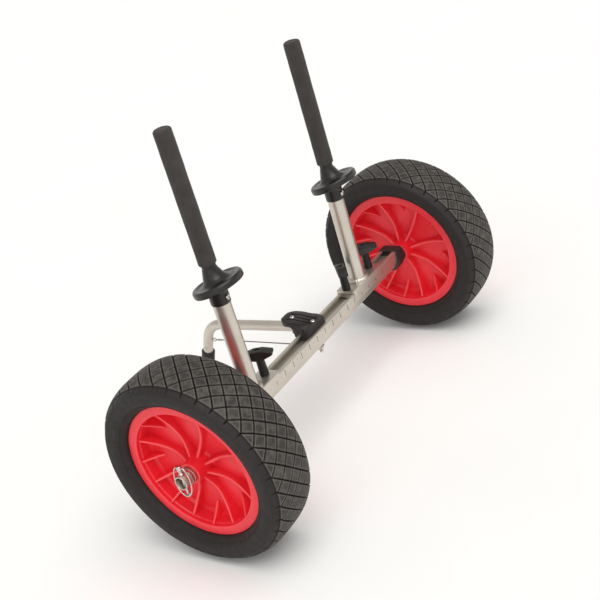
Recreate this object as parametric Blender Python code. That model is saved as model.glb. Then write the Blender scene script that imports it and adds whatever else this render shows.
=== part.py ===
"""Two-wheeled plug-in cart for a small boat, as an assembly of separate solids.

Two big wheels turn on a tube axle. An aluminium rail sits on the axle, and two
saddles slide along it. Each saddle carries an upright post with a black support
flange and a foam-covered top that goes up through a hole in the hull. A folding
kickstand under a ribbed block holds the cart up.

Metres, +Z up, +X along the axle. Every size below is measured from the axle's
centre: the frame empty then lifts the model so that it stands on z = 0.
"""
import math

import bmesh
import bpy
from mathutils import Matrix, Vector

MM = 0.001
GAP = 0.3 * MM                      # left between pieces that touch

# Wheels
WHEEL_X = 332.9 * MM                # wheel centre from the cart's middle
TYRE_RADIUS = 160.5 * MM
TYRE_HALF_WIDTH = 50.6 * MM
TYRE_CROWN_DROP = 15.6 * MM         # crown height over the widest point
RIM_RADIUS = 115.6 * MM             # edge of the rim's flange
RIM_INNER_RADIUS = 100.6 * MM
RIM_HALF_WIDTH = 34.7 * MM
RIM_SEAT_RADIUS = 104.5 * MM
WEB_HALF_THICKNESS = 5.8 * MM
HUB_RADIUS = 17.3 * MM
HUB_HALF_LENGTH = 39.4 * MM
RIB_COUNT = 8
RIB_THICKNESS = 4.0 * MM
TYRE_STEPS = 40
RIM_STEPS = 32

# Axle, bushes and spacers
AXLE_RADIUS = 11.1 * MM
AXLE_BORE = 9.5 * MM
AXLE_HALF_LENGTH = 395.6 * MM
RUNNING_BORE = 11.45 * MM           # holes that the axle goes through
BUSH_RADIUS = 12.4 * MM
BUSH_OUTER_END = 381.8 * MM
SPACER_RADIUS = 15.0 * MM

# Lock pins
PIN_X = 388.0 * MM
PIN_RADIUS = 2.5 * MM
PIN_TIP_Z = -27.0 * MM
PIN_HEAD_RADIUS = 4.0 * MM
PIN_HEAD_TOP = 26.5 * MM
BAIL_PIVOT_Z = 22.6 * MM
BAIL_WIRE_RADIUS = 1.2 * MM
BAIL_HALF_WIDTH = 14.5 * MM
BAIL_BOTTOM_Z = -24.5 * MM
BAIL_LEAN = 4.0 * MM                # the wire's bottom stands outside the pin tip

# Rail section
RAIL_HALF_WIDTH = 17.3 * MM
RAIL_TOP = 23.1 * MM
RAIL_SIDE_BOTTOM = 5.8 * MM
RAIL_BELLY_RADIUS = 12.7 * MM
SLOT_HALF_WIDTH = 9.6 * MM
CHANNEL_HALF_WIDTH = 14.5 * MM
CHANNEL_FLOOR = 13.9 * MM
LIP_UNDERSIDE = 19.8 * MM
RAIL_MOUTH_X = 258.9 * MM           # where the rail goes into the end caps
RAIL_HALF_LENGTH = 272.0 * MM
CAP_OUTER_X = 280.3 * MM
CAP_HALF_WIDTH = 21.2 * MM
CAP_TOP = 24.5 * MM
CAP_SIDE_BOTTOM = 2.4 * MM
CAP_BELLY_RADIUS = 17.6 * MM

# Saddles, posts and flanges
LEFT_POST_X = -194.8 * MM
RIGHT_POST_X = 150.5 * MM
SADDLE_BACK = -46.0 * MM            # saddle ends, from its post
SADDLE_FRONT = 54.0 * MM
SADDLE_TOP = 28.6 * MM
SADDLE_HALF_WIDTH = 19.9 * MM
SADDLE_SIDE = 2.3 * MM
SADDLE_SIDE_BOTTOM = 17.3 * MM
POST_RADIUS = 14.2 * MM
POST_BORE = 12.2 * MM
POST_TOP = 208.0 * MM
WELD_SIZE = 4.0 * MM
COLLAR_RADIUS = 15.7 * MM
COLLAR_BOTTOM = 183.8 * MM
NECK_TOP = 249.7 * MM
DISC_CENTRE = Vector((0.0, -6.0, 216.5)) * MM   # from its post, a little towards -Y
DISC_RADIUS = 41.1 * MM
DISC_TILT = math.radians(14.5)      # the disc's front edge stands higher than its back
SCREW_Z = 194.0 * MM
CORE_RADIUS = 8.7 * MM
CORE_BORE = 6.7 * MM
CORE_BOTTOM = 196.0 * MM
FOAM_RADIUS = 14.0 * MM
FOAM_TOP = 462.4 * MM
FOAM_BORE_TOP = 452.0 * MM

# Clamp knobs, studs and T-nuts
KNOB_SPACING = 39.9 * MM            # knob axis from its post
STUD_RADIUS = 3.9 * MM
STUD_BOTTOM = 14.3 * MM
STUD_TOP = 45.0 * MM
KNOB_BAR_HALF_LENGTH = 24.0 * MM
KNOB_BAR_HALF_WIDTH = 8.2 * MM
TNUT_HALF_LENGTH = 6.5 * MM
TNUT_THICKNESS = 3.5 * MM
KNOBS = {                           # saddle, side of the post, bar direction
    "left_outer": (LEFT_POST_X, -1, 25.0),
    "left_inner": (LEFT_POST_X, 1, -65.0),
    "right_inner": (RIGHT_POST_X, -1, 41.0),
    "right_outer": (RIGHT_POST_X, 1, -52.0),
}

# Kickstand
STAND_X = -3.5 * MM
PIVOT_Y = 40.0 * MM
STAND_TUBE_RADIUS = 9.0 * MM
STAND_TUBE_BORE = 7.4 * MM
STAND_TUBE_Z = 22.5 * MM            # tube axis at the pivot
STAND_DROOP = 0.036                 # fall of the tube per metre outwards
STAND_TUBE_START = 30.0 * MM
BEND_RADIUS = 45.0 * MM
BEND_CORNER = Vector((0.0, 231.2 * MM, 15.6 * MM))
LEG_ANGLE = math.radians(21.7)      # the leg leans outwards from upright
LEG_TUBE_END = -146.0 * MM
FOOT_RADIUS = 12.0 * MM
FOOT_TOP = -42.0 * MM
FOOT_BORE = 9.3 * MM
BUTTON_Z = -33.0 * MM
BUTTON_RADIUS = 3.0 * MM
BLOCK_HALF_WIDTH = 19.0 * MM
BLOCK_FRONT = -11.0 * MM
BLOCK_FRONT_TOP = 34.7 * MM
BLOCK_BACK_TOP = 41.5 * MM
BLOCK_BOTTOM = 13.0 * MM
SEAT_HALF_WIDTH = 9.6 * MM
SEAT_CEILING = 32.4 * MM
CLAMP_SCREW_RADIUS = 3.0 * MM

# Stay cable
STAY_RADIUS = 1.0 * MM
ANCHOR = Vector((-44.0, 17.6, 13.8)) * MM
EYELET = Vector((-3.5, 229.0, -17.0)) * MM
EYELET_RING = 3.2 * MM
EYELET_WIRE = 1.0 * MM

FOOT_OUTER_Y = (BEND_CORNER.y + (TYRE_RADIUS + BEND_CORNER.z) * math.tan(LEG_ANGLE)
                + FOOT_RADIUS / math.cos(LEG_ANGLE))
FRAME_Y = -(FOOT_OUTER_Y - TYRE_RADIUS) / 2    # centres the box on the origin
FRAME_Z = TYRE_RADIUS

FINISHES = {                        # colour, roughness, metallic
    "aluminium": ((0.62, 0.58, 0.53, 1.0), 0.42, 1.0),
    "steel": ((0.66, 0.66, 0.64, 1.0), 0.25, 1.0),
    "red_plastic": ((0.80, 0.02, 0.04, 1.0), 0.38, 0.0),
    "tyre_rubber": ((0.035, 0.034, 0.035, 1.0), 0.75, 0.0),
    "black_plastic": ((0.022, 0.020, 0.020, 1.0), 0.45, 0.0),
    "gloss_plastic": ((0.012, 0.011, 0.011, 1.0), 0.2, 0.0),
    "foam": ((0.030, 0.030, 0.030, 1.0), 0.9, 0.0),
}


# ---------------------------------------------------------------- scene helpers

def clear_scene():
    for old in list(bpy.data.objects):
        bpy.data.objects.remove(old, do_unlink=True)


def finish_material(name, finish):
    """A node's own Principled material, from the table of finishes."""
    colour, roughness, metallic = FINISHES[finish]
    made = bpy.data.materials.new(name + "_" + finish)
    made.use_nodes = True
    shader = made.node_tree.nodes["Principled BSDF"]
    shader.inputs["Base Color"].default_value = colour
    shader.inputs["Roughness"].default_value = roughness
    shader.inputs["Metallic"].default_value = metallic
    return made


def add_empty(name, location, parent=None):
    empty = bpy.data.objects.new(name, None)
    empty.empty_display_size = 0.02
    bpy.context.scene.collection.objects.link(empty)
    empty.parent = parent
    empty.location = location
    return empty


class Frame:
    """Keeps each joint's empty with its place, measured from the axle's centre."""

    def __init__(self):
        self.places = {"cart_frame": Vector((0.0, 0.0, 0.0))}
        self.empties = {"cart_frame": add_empty("cart_frame", (0.0, FRAME_Y, FRAME_Z))}

    def joint(self, name, place, parent="cart_frame"):
        place = Vector(place)
        self.empties[name] = add_empty(name, place - self.places[parent], self.empties[parent])
        self.places[name] = place
        return name

    def attach(self, obj, joint="cart_frame"):
        """Puts obj's origin on the joint without moving its shape."""
        obj.data.transform(Matrix.Translation(-self.places[joint]))
        obj.parent = self.empties[joint]
        return obj


def new_object(name, bm, finish=None, smooth=35.0):
    bmesh.ops.recalc_face_normals(bm, faces=bm.faces)
    mesh = bpy.data.meshes.new(name)
    bm.to_mesh(mesh)
    bm.free()
    mesh.shade_smooth()
    mesh.set_sharp_from_angle(angle=math.radians(smooth))
    obj = bpy.data.objects.new(name, mesh)
    bpy.context.scene.collection.objects.link(obj)
    if finish is not None:
        mesh.materials.append(finish_material(name, finish))
    return obj


def apply_modifiers(obj):
    """Makes the modified shape the object's mesh, without the slivers a Boolean can leave."""
    graph = bpy.context.evaluated_depsgraph_get()
    mesh = bpy.data.meshes.new_from_object(obj.evaluated_get(graph))
    obj.modifiers.clear()
    bm = bmesh.new()
    bm.from_mesh(mesh)
    bmesh.ops.remove_doubles(bm, verts=bm.verts, dist=2e-6)
    bmesh.ops.dissolve_degenerate(bm, dist=2e-6, edges=bm.edges)
    bm.to_mesh(mesh)
    bm.free()
    obj.data = mesh


def combine(obj, tool, operation):
    """Boolean of obj with tool, which is used up."""
    step = obj.modifiers.new(operation.lower(), "BOOLEAN")
    step.operation = operation
    step.solver = "EXACT"
    step.object = tool
    tool.hide_render = True
    tool.display_type = "WIRE"
    apply_modifiers(obj)
    bpy.data.objects.remove(tool, do_unlink=True)
    return obj


def cut(obj, *tools):
    for tool in tools:
        combine(obj, tool, "DIFFERENCE")
    return obj


def join_solid(obj, *tools):
    for tool in tools:
        combine(obj, tool, "UNION")
    return obj


# ---------------------------------------------------------------- shape helpers

def arc(centre, radius, start, end, steps):
    """Points on an arc, in degrees, both ends included."""
    angles = [math.radians(start + (end - start) * i / steps) for i in range(steps + 1)]
    return [(centre[0] + radius * math.cos(a), centre[1] + radius * math.sin(a)) for a in angles]


def turned(name, profile, centre, axis, finish=None, steps=32, phase=0.0, smooth=35.0):
    """Spins a closed (radius, height) outline about an axis through centre."""
    turn = Vector(axis).normalized().to_track_quat("Z", "Y").to_matrix().to_4x4()
    place = Matrix.Translation(Vector(centre)) @ turn
    bm = bmesh.new()
    verts = [bm.verts.new((r * math.cos(phase), r * math.sin(phase), h)) for r, h in profile]
    for i, vert in enumerate(verts):
        after = verts[(i + 1) % len(verts)]
        if profile[i][0] > 0 or profile[(i + 1) % len(verts)][0] > 0:
            bm.edges.new((vert, after))
    bmesh.ops.spin(bm, geom=list(bm.verts) + list(bm.edges), cent=(0, 0, 0), axis=(0, 0, 1),
                   angle=2 * math.pi, steps=steps, use_merge=True)
    bmesh.ops.remove_doubles(bm, verts=bm.verts, dist=1e-7)
    bmesh.ops.dissolve_degenerate(bm, dist=1e-7, edges=bm.edges)
    bmesh.ops.transform(bm, matrix=place, verts=bm.verts)
    return new_object(name, bm, finish, smooth)


def cylinder(name, centre, axis, radius, low, high, finish=None, steps=24):
    profile = [(0.0, low), (radius, low), (radius, high), (0.0, high)]
    return turned(name, profile, centre, axis, finish, steps)


def extruded(name, outline, place, depth, finish=None, smooth=35.0):
    """Extrudes an outline by depth. place maps (u, v, w) to model space."""
    bm = bmesh.new()
    face = bm.faces.new([bm.verts.new((u, v, 0.0)) for u, v in outline])
    grown = bmesh.ops.extrude_face_region(bm, geom=[face])
    moved = [part for part in grown["geom"] if isinstance(part, bmesh.types.BMVert)]
    bmesh.ops.translate(bm, verts=moved, vec=(0.0, 0.0, depth))
    bmesh.ops.transform(bm, matrix=place, verts=bm.verts)
    return new_object(name, bm, finish, smooth)


def along_x(start):
    """Maps an outline in (y, z) to the plane x = start, extruded towards +X."""
    return Matrix(((0, 0, 1, start), (1, 0, 0, 0), (0, 1, 0, 0), (0, 0, 0, 1)))


def upwards(start):
    """Maps an outline in (x, y) to the plane z = start, extruded upwards."""
    return Matrix.Translation((0.0, 0.0, start))


def box(name, low, high, finish=None):
    outline = [(low[0], low[1]), (high[0], low[1]), (high[0], high[1]), (low[0], high[1])]
    return extruded(name, outline, upwards(low[2]), high[2] - low[2], finish)


def bevelled(obj, width, segments=2, angle=40.0):
    step = obj.modifiers.new("bevel", "BEVEL")
    step.width = width
    step.segments = segments
    step.limit_method = "ANGLE"
    step.angle_limit = math.radians(angle)
    apply_modifiers(obj)
    return obj


def rings_along(path, radius, steps, closed, up):
    """Rings of points round a path, each square to it, with up as the first point's side."""
    rings = []
    count = len(path)
    for i, point in enumerate(path):
        before = path[(i - 1) % count] if closed or i > 0 else point
        after = path[(i + 1) % count] if closed or i < count - 1 else point
        forward = (after - before).normalized()
        side = forward.cross(up).normalized()
        top = side.cross(forward).normalized()
        angles = [2 * math.pi * k / steps for k in range(steps)]
        rings.append([point + radius * (math.cos(a) * top + math.sin(a) * side) for a in angles])
    return rings


def bridge(bm, rows, closed):
    """Faces between neighbouring rings of vertices."""
    pairs = list(zip(rows, rows[1:]))
    if closed:
        pairs.append((rows[-1], rows[0]))
    for first, second in pairs:
        for k in range(len(first)):
            n = (k + 1) % len(first)
            bm.faces.new((first[k], first[n], second[n], second[k]))


def swept(name, path, radius, finish, bore=None, steps=14, closed=False, up=(1, 0, 0)):
    """A round bar along a path, or a tube when it has a bore."""
    up = Vector(up)
    bm = bmesh.new()
    outer = [[bm.verts.new(p) for p in ring] for ring in rings_along(path, radius, steps, closed, up)]
    bridge(bm, outer, closed)
    if bore is not None:
        inner = [[bm.verts.new(p) for p in ring] for ring in rings_along(path, bore, steps, closed, up)]
        bridge(bm, inner, closed)
        bridge(bm, [outer[0], inner[0]], False)
        bridge(bm, [outer[-1], inner[-1]], False)
    elif not closed:
        bm.faces.new(outer[0])
        bm.faces.new(outer[-1])
    return new_object(name, bm, finish)


# ---------------------------------------------------------------- axle and rail

def mirrored_outline(half):
    """Closes a half outline, given from the bottom to the top at y >= 0, about y = 0."""
    other = [(-y, z) for y, z in reversed(half) if y > 1e-9]
    return half + other


def tangent_angle(half_width, side_bottom, belly_radius):
    """Angle on the belly circle where a straight flank from the side touches it."""
    reach = math.hypot(half_width, side_bottom)
    towards = math.atan2(side_bottom, half_width)
    return math.degrees(towards - math.acos(belly_radius / reach))


def rail_outline(grow=0.0):
    """The rail's section: a slotted channel over a round belly. grow thickens its walls."""
    wide = RAIL_HALF_WIDTH + grow
    top = RAIL_TOP + grow
    belly = RAIL_BELLY_RADIUS + grow
    slot = SLOT_HALF_WIDTH - grow
    bead = 3.0 * MM
    lip = 1.4 * MM
    half = arc((0.0, 0.0), belly, -90, tangent_angle(wide, RAIL_SIDE_BOTTOM, belly), 4)
    half += [(wide, RAIL_SIDE_BOTTOM)]
    half += arc((wide - bead, top - bead), bead, 0, 90, 2)
    half += arc((slot + lip, top - lip), lip, 90, 180, 1)
    half += [(slot, LIP_UNDERSIDE - grow)]
    half += [(CHANNEL_HALF_WIDTH - grow, LIP_UNDERSIDE - grow)]
    half += [(CHANNEL_HALF_WIDTH - grow, CHANNEL_FLOOR + grow)]
    return mirrored_outline(half)


def cap_outline():
    half = arc((0.0, 0.0), CAP_BELLY_RADIUS, -90,
               tangent_angle(CAP_HALF_WIDTH, CAP_SIDE_BOTTOM, CAP_BELLY_RADIUS), 4)
    corner = 3.5 * MM
    half += [(CAP_HALF_WIDTH, CAP_SIDE_BOTTOM)]
    half += arc((CAP_HALF_WIDTH - corner, CAP_TOP - corner), corner, 0, 90, 2)
    return mirrored_outline(half)


def make_rail(frame):
    rail = extruded("rail", rail_outline(), along_x(-RAIL_HALF_LENGTH), 2 * RAIL_HALF_LENGTH, "aluminium")
    reach = RAIL_HALF_LENGTH + 5 * MM
    cut(rail,
        cylinder("bore", (0, 0, 0), (1, 0, 0), RUNNING_BORE, -reach, reach, steps=24),
        cylinder("hole", (STAND_X, 0, 0), (0, 0, 1), CLAMP_SCREW_RADIUS + GAP, -20 * MM, 20 * MM, steps=16))
    frame.attach(rail)


def make_axle(frame):
    ring = [(AXLE_BORE, -AXLE_HALF_LENGTH), (AXLE_RADIUS, -AXLE_HALF_LENGTH),
            (AXLE_RADIUS, AXLE_HALF_LENGTH), (AXLE_BORE, AXLE_HALF_LENGTH)]
    axle = turned("axle_tube", ring, (0, 0, 0), (1, 0, 0), "aluminium", steps=24)
    for x in (-PIN_X, PIN_X):
        cut(axle, cylinder("hole", (x, 0, 0), (0, 0, 1), PIN_RADIUS + GAP, -20 * MM, 20 * MM, steps=12))
    cut(axle, cylinder("hole", (STAND_X, 0, 0), (0, 0, 1), CLAMP_SCREW_RADIUS + GAP,
                       -20 * MM, 20 * MM, steps=12))
    frame.attach(axle)


def face_left(obj):
    """Turns a right-hand piece about the upright axis, so that it fits the left end."""
    obj.data.transform(Matrix.Rotation(math.pi, 4, "Z"))
    return obj


def make_end_cap(frame, side):
    cap = extruded(side + "_end_cap", cap_outline(), along_x(RAIL_MOUTH_X),
                   CAP_OUTER_X - RAIL_MOUTH_X, "black_plastic")
    bevelled(cap, 1.2 * MM, segments=1)
    pocket_depth = RAIL_HALF_LENGTH + GAP - RAIL_MOUTH_X
    cut(cap,
        extruded("pocket", rail_outline(GAP), along_x(RAIL_MOUTH_X - MM), pocket_depth + MM),
        cylinder("bore", (0, 0, 0), (1, 0, 0), RUNNING_BORE, RAIL_MOUTH_X - MM, CAP_OUTER_X + MM, steps=24))
    if side == "left":
        face_left(cap)
    frame.attach(cap)


def make_spacer(frame, side):
    inner_x = CAP_OUTER_X + GAP
    outer_x = WHEEL_X - HUB_HALF_LENGTH - GAP
    ring = [(RUNNING_BORE, inner_x), (SPACER_RADIUS, inner_x),
            (SPACER_RADIUS, outer_x), (RUNNING_BORE, outer_x)]
    spacer = turned(side + "_hub_spacer", ring, (0, 0, 0), (1, 0, 0), "black_plastic", steps=24)
    if side == "left":
        face_left(spacer)
    frame.attach(spacer)


# ---------------------------------------------------------------- wheels

def rim_outline():
    """The rim's section in (radius, offset from the wheel's middle)."""
    half = [
        (HUB_RADIUS, HUB_HALF_LENGTH), (HUB_RADIUS + 1.5 * MM, WEB_HALF_THICKNESS),
        (96.0 * MM, WEB_HALF_THICKNESS), (98.5 * MM, 10.0 * MM),
        (RIM_INNER_RADIUS, RIM_HALF_WIDTH), (RIM_RADIUS, RIM_HALF_WIDTH),
        (RIM_RADIUS, 30.6 * MM), (RIM_SEAT_RADIUS, 27.0 * MM),
    ]
    bore = BUSH_RADIUS + GAP
    other = [(r, -x) for r, x in reversed(half)]
    return [(bore, HUB_HALF_LENGTH)] + half + other + [(bore, -HUB_HALF_LENGTH)]


def rib_outlines():
    """Long and short ribs, as outlines in (radius, offset from the wheel's middle)."""
    root = WEB_HALF_THICKNESS - 1.5 * MM
    inner = HUB_RADIUS - 1.0 * MM
    outer = RIM_INNER_RADIUS + 1.0 * MM
    long_rib = [(inner, root), (outer, root), (outer, 29.2 * MM), (98.0 * MM, 28.9 * MM),
                (46.0 * MM, 15.0 * MM), (HUB_RADIUS, 23.1 * MM), (inner, 23.4 * MM)]
    short_rib = [(70.0 * MM, root), (outer, root), (outer, 31.6 * MM), (98.0 * MM, 31.2 * MM),
                 (74.0 * MM, 7.7 * MM)]
    return long_rib, short_rib


def add_plate(bm, outline, thickness, turn):
    """A flat rib: its outline is in (radius, offset), turned about the wheel's axle."""
    place = Matrix.Rotation(turn, 4, "X")
    sides = []
    for y in (-thickness / 2, thickness / 2):
        sides.append([bm.verts.new(place @ Vector((x, y, r))) for r, x in outline])
    bm.faces.new(sides[0])
    bm.faces.new(reversed(sides[1]))
    count = len(outline)
    for i in range(count):
        n = (i + 1) % count
        bm.faces.new((sides[0][n], sides[0][i], sides[1][i], sides[1][n]))


def make_ribs(phase):
    bm = bmesh.new()
    for outline, offset in zip(rib_outlines(), (0.0, 0.5)):
        for k in range(RIB_COUNT):
            turn = phase + 2 * math.pi * (k + offset) / RIB_COUNT
            for flip in (1, -1):
                add_plate(bm, [(r, flip * x) for r, x in outline], RIB_THICKNESS, turn)
    return new_object("ribs", bm)


def tyre_outline():
    """The tyre's section in (radius, offset): crown, sidewall, bead and seat."""
    half = []
    for share in (0.0, 0.5, 0.8, 0.95, 1.0):
        drop = TYRE_CROWN_DROP * (1 - (1 - share ** 3.23) ** 0.694)
        half.append((TYRE_RADIUS - drop, share * TYRE_HALF_WIDTH))
    half += [(132.0 * MM, 50.2 * MM), (120.0 * MM, 43.5 * MM), (RIM_RADIUS + GAP, 36.0 * MM),
             (RIM_RADIUS + GAP, 30.2 * MM), (RIM_SEAT_RADIUS + GAP, 26.6 * MM)]
    other = [(r, -x) for r, x in reversed(half) if x > 0]
    return half + other


def scaled_radii(outline, factor):
    return [(r * factor, x) for r, x in outline]


def make_wheel(frame, side):
    sign = 1 if side == "right" else -1
    joint = frame.joint(side + "_wheel_spin", (sign * WHEEL_X, 0, 0))
    centre = (sign * WHEEL_X, 0, 0)
    rim = turned(side + "_rim", rim_outline(), centre, (1, 0, 0), "red_plastic", steps=RIM_STEPS)
    phase = math.radians(22.0 if side == "left" else 12.3) - math.pi / 2
    ribs = make_ribs(-phase)
    ribs.data.transform(Matrix.Translation(centre))
    join_solid(rim, ribs)
    frame.attach(rim, joint)

    # The flats of the faceted tread lie at the true radius, with one flat on the ground.
    outline = scaled_radii(tyre_outline(), 1 / math.cos(math.pi / TYRE_STEPS))
    tyre = turned(side + "_tyre", outline, centre, (1, 0, 0), "tyre_rubber",
                  steps=TYRE_STEPS, phase=math.pi / TYRE_STEPS)
    frame.attach(tyre, joint)

    inner_x = WHEEL_X - HUB_HALF_LENGTH + GAP / 2
    ring = [(RUNNING_BORE, inner_x), (BUSH_RADIUS, inner_x),
            (BUSH_RADIUS, BUSH_OUTER_END), (RUNNING_BORE, BUSH_OUTER_END)]
    bush = turned(side + "_hub_bush", ring, (0, 0, 0), (1, 0, 0), "steel", steps=24)
    if side == "left":
        face_left(bush)
    frame.attach(bush, joint)


# ---------------------------------------------------------------- lock pins

def bail_path():
    """The wire's centre line: straight through the pin head, then an oval round the tube."""
    straight = 5.0 * MM
    middle = (BAIL_PIVOT_Z + BAIL_BOTTOM_Z) / 2
    tall = BAIL_PIVOT_Z - middle
    half = [(0.0, BAIL_PIVOT_Z), (straight, BAIL_PIVOT_Z)]
    for degrees in range(66, -1, -22):
        a = math.radians(degrees)
        half.append((straight + (BAIL_HALF_WIDTH - straight) * math.cos(a), middle + tall * math.sin(a)))
    for degrees in range(-22, -90, -22):
        a = math.radians(degrees)
        half.append((BAIL_HALF_WIDTH * math.cos(a), middle + tall * math.sin(a)))
    loop = half + [(0.0, BAIL_BOTTOM_Z)] + [(-y, z) for y, z in reversed(half) if y > 0]
    path = []
    for y, z in loop:
        lean = BAIL_LEAN * (BAIL_PIVOT_Z - z) / (BAIL_PIVOT_Z - BAIL_BOTTOM_Z)
        path.append(Vector((PIN_X + lean, y, z)))
    return path


def make_lock_pin(frame, side):
    sign = 1 if side == "right" else -1
    seat = AXLE_RADIUS + GAP
    profile = [(0.0, PIN_TIP_Z), (1.6 * MM, PIN_TIP_Z), (PIN_RADIUS, PIN_TIP_Z + 1.5 * MM),
               (PIN_RADIUS, seat), (4.2 * MM, seat), (4.2 * MM, seat + 1.6 * MM),
               (3.0 * MM, 18.0 * MM), (PIN_HEAD_RADIUS, 18.8 * MM),
               (PIN_HEAD_RADIUS, PIN_HEAD_TOP - MM), (3.0 * MM, PIN_HEAD_TOP), (0.0, PIN_HEAD_TOP)]
    pull = frame.joint(side + "_pin_pull", (sign * PIN_X, 0, 0))
    pin = turned(side + "_lock_pin", profile, (PIN_X, 0, 0), (0, 0, 1), "steel", steps=12)
    cut(pin, cylinder("eye", (PIN_X, 0, BAIL_PIVOT_Z), (0, 1, 0), BAIL_WIRE_RADIUS + GAP,
                      -6 * MM, 6 * MM, steps=8))
    flip = frame.joint(side + "_bail_flip", (sign * PIN_X, 0, BAIL_PIVOT_Z), pull)
    bail = swept(side + "_pin_bail", bail_path(), BAIL_WIRE_RADIUS, "steel", steps=6, closed=True)
    if side == "left":
        face_left(pin)
        face_left(bail)
    frame.attach(pin, pull)
    frame.attach(bail, flip)


# ---------------------------------------------------------------- saddles and posts

def make_saddle_plate(frame, side, post_x, joint):
    under = RAIL_TOP + GAP
    inside = SADDLE_HALF_WIDTH - SADDLE_SIDE
    outline = [(-SADDLE_HALF_WIDTH, SADDLE_SIDE_BOTTOM), (-inside, SADDLE_SIDE_BOTTOM), (-inside, under),
               (inside, under), (inside, SADDLE_SIDE_BOTTOM), (SADDLE_HALF_WIDTH, SADDLE_SIDE_BOTTOM),
               (SADDLE_HALF_WIDTH, SADDLE_TOP - 1.5 * MM), (SADDLE_HALF_WIDTH - 1.5 * MM, SADDLE_TOP),
               (-SADDLE_HALF_WIDTH + 1.5 * MM, SADDLE_TOP), (-SADDLE_HALF_WIDTH, SADDLE_TOP - 1.5 * MM)]
    plate = extruded(side + "_saddle", outline, along_x(post_x + SADDLE_BACK),
                     SADDLE_FRONT - SADDLE_BACK, "aluminium")
    for offset in (-KNOB_SPACING, KNOB_SPACING):
        cut(plate, cylinder("hole", (post_x + offset, 0, 0), (0, 0, 1), STUD_RADIUS + GAP,
                            10 * MM, 40 * MM, steps=12))
    frame.attach(plate, joint)


def flange_screw_hole(post_x):
    return cylinder("hole", (post_x, 0, SCREW_Z), (0, -1, 0), 2.4 * MM, 5 * MM, 25 * MM, steps=12)


def make_post(frame, side, post_x, joint):
    base = SADDLE_TOP + GAP
    ring = [(POST_BORE, base), (POST_RADIUS + WELD_SIZE, base),
            (POST_RADIUS + 1.2 * MM, base + 1.2 * MM), (POST_RADIUS, base + WELD_SIZE),
            (POST_RADIUS, POST_TOP), (POST_BORE, POST_TOP)]
    post = turned(side + "_post_tube", ring, (post_x, 0, 0), (0, 0, 1), "aluminium", steps=24)
    cut(post, flange_screw_hole(post_x))
    frame.attach(post, joint)

    ring = [(CORE_BORE, CORE_BOTTOM), (CORE_RADIUS, CORE_BOTTOM),
            (CORE_RADIUS, FOAM_BORE_TOP - GAP), (CORE_BORE, FOAM_BORE_TOP - GAP)]
    frame.attach(turned(side + "_post_core", ring, (post_x, 0, 0), (0, 0, 1), "aluminium", steps=16), joint)


def make_flange(frame, side, post_x, joint):
    """Collar, cone and neck about the post, through a support disc that leans back."""
    body = [(0.0, COLLAR_BOTTOM), (COLLAR_RADIUS, COLLAR_BOTTOM), (COLLAR_RADIUS, 205.0 * MM),
            (21.0 * MM, 213.5 * MM), (21.9 * MM, 216.5 * MM), (11.0 * MM, 246.5 * MM),
            (11.0 * MM, NECK_TOP), (0.0, NECK_TOP)]
    disc = [(0.0, -4.5 * MM), (35.0 * MM, -5.0 * MM), (39.5 * MM, -4.5 * MM),
            (DISC_RADIUS, -1.5 * MM), (DISC_RADIUS, 2.5 * MM), (39.8 * MM, 4.7 * MM),
            (38.2 * MM, 5.5 * MM), (35.2 * MM, 5.5 * MM), (31.5 * MM, 2.5 * MM), (0.0, 1.5 * MM)]
    flange = turned(side + "_flange", body, (0, 0, 0), (0, 0, 1), "gloss_plastic", steps=24)
    plate = turned("disc", disc, (0, 0, 0), (0, 0, 1), steps=32)
    plate.data.transform(Matrix.Translation(DISC_CENTRE) @ Matrix.Rotation(-DISC_TILT, 4, "X"))
    join_solid(flange, plate)
    cut(flange,
        cylinder("socket", (0, 0, 0), (0, 0, 1), POST_RADIUS + GAP,
                 COLLAR_BOTTOM - 5 * MM, POST_TOP + GAP, steps=24),
        cylinder("core_hole", (0, 0, 0), (0, 0, 1), CORE_RADIUS + GAP,
                 POST_TOP - 5 * MM, NECK_TOP + 5 * MM, steps=16),
        flange_screw_hole(0.0))
    flange.data.transform(Matrix.Translation((post_x, 0, 0)))
    frame.attach(flange, joint)

    head = COLLAR_RADIUS + GAP
    profile = [(0.0, 10.8 * MM), (2.1 * MM, 10.8 * MM), (2.1 * MM, head), (4.5 * MM, head),
               (4.5 * MM, head + 1.4 * MM), (3.2 * MM, head + 2.7 * MM), (0.0, head + 2.9 * MM)]
    screw = turned(side + "_flange_screw", profile, (post_x, 0, SCREW_Z), (0, -1, 0), "steel", steps=14)
    frame.attach(screw, joint)


def make_foam(frame, side, post_x, joint):
    bottom = NECK_TOP + GAP
    edge = 7.0 * MM
    outer = [(FOAM_RADIUS, bottom)] + arc((FOAM_RADIUS - edge, FOAM_TOP - edge), edge, 0, 90, 3)
    bore = CORE_RADIUS + GAP
    profile = [(bore, bottom)] + outer + [(0.0, FOAM_TOP), (0.0, FOAM_BORE_TOP), (bore, FOAM_BORE_TOP)]
    frame.attach(turned(side + "_foam_sleeve", profile, (post_x, 0, 0), (0, 0, 1), "foam", steps=24), joint)


def make_post_set(frame, side, post_x):
    joint = frame.joint(side + "_saddle_slide", (post_x, 0, RAIL_TOP))
    make_saddle_plate(frame, side, post_x, joint)
    make_post(frame, side, post_x, joint)
    make_flange(frame, side, post_x, joint)
    make_foam(frame, side, post_x, joint)
    return joint


# ---------------------------------------------------------------- clamps

def knob_bar_outline():
    """The handle bar seen from its side: deep in the middle, slimmer at its ends."""
    end = KNOB_BAR_HALF_LENGTH
    half = [(6.5 * MM, 54.0 * MM), (end - 1.5 * MM, 61.5 * MM), (end, 63.0 * MM),
            (end, 69.0 * MM), (8.0 * MM, 74.3 * MM)]
    return half + [(-u, v) for u, v in reversed(half)]


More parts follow.
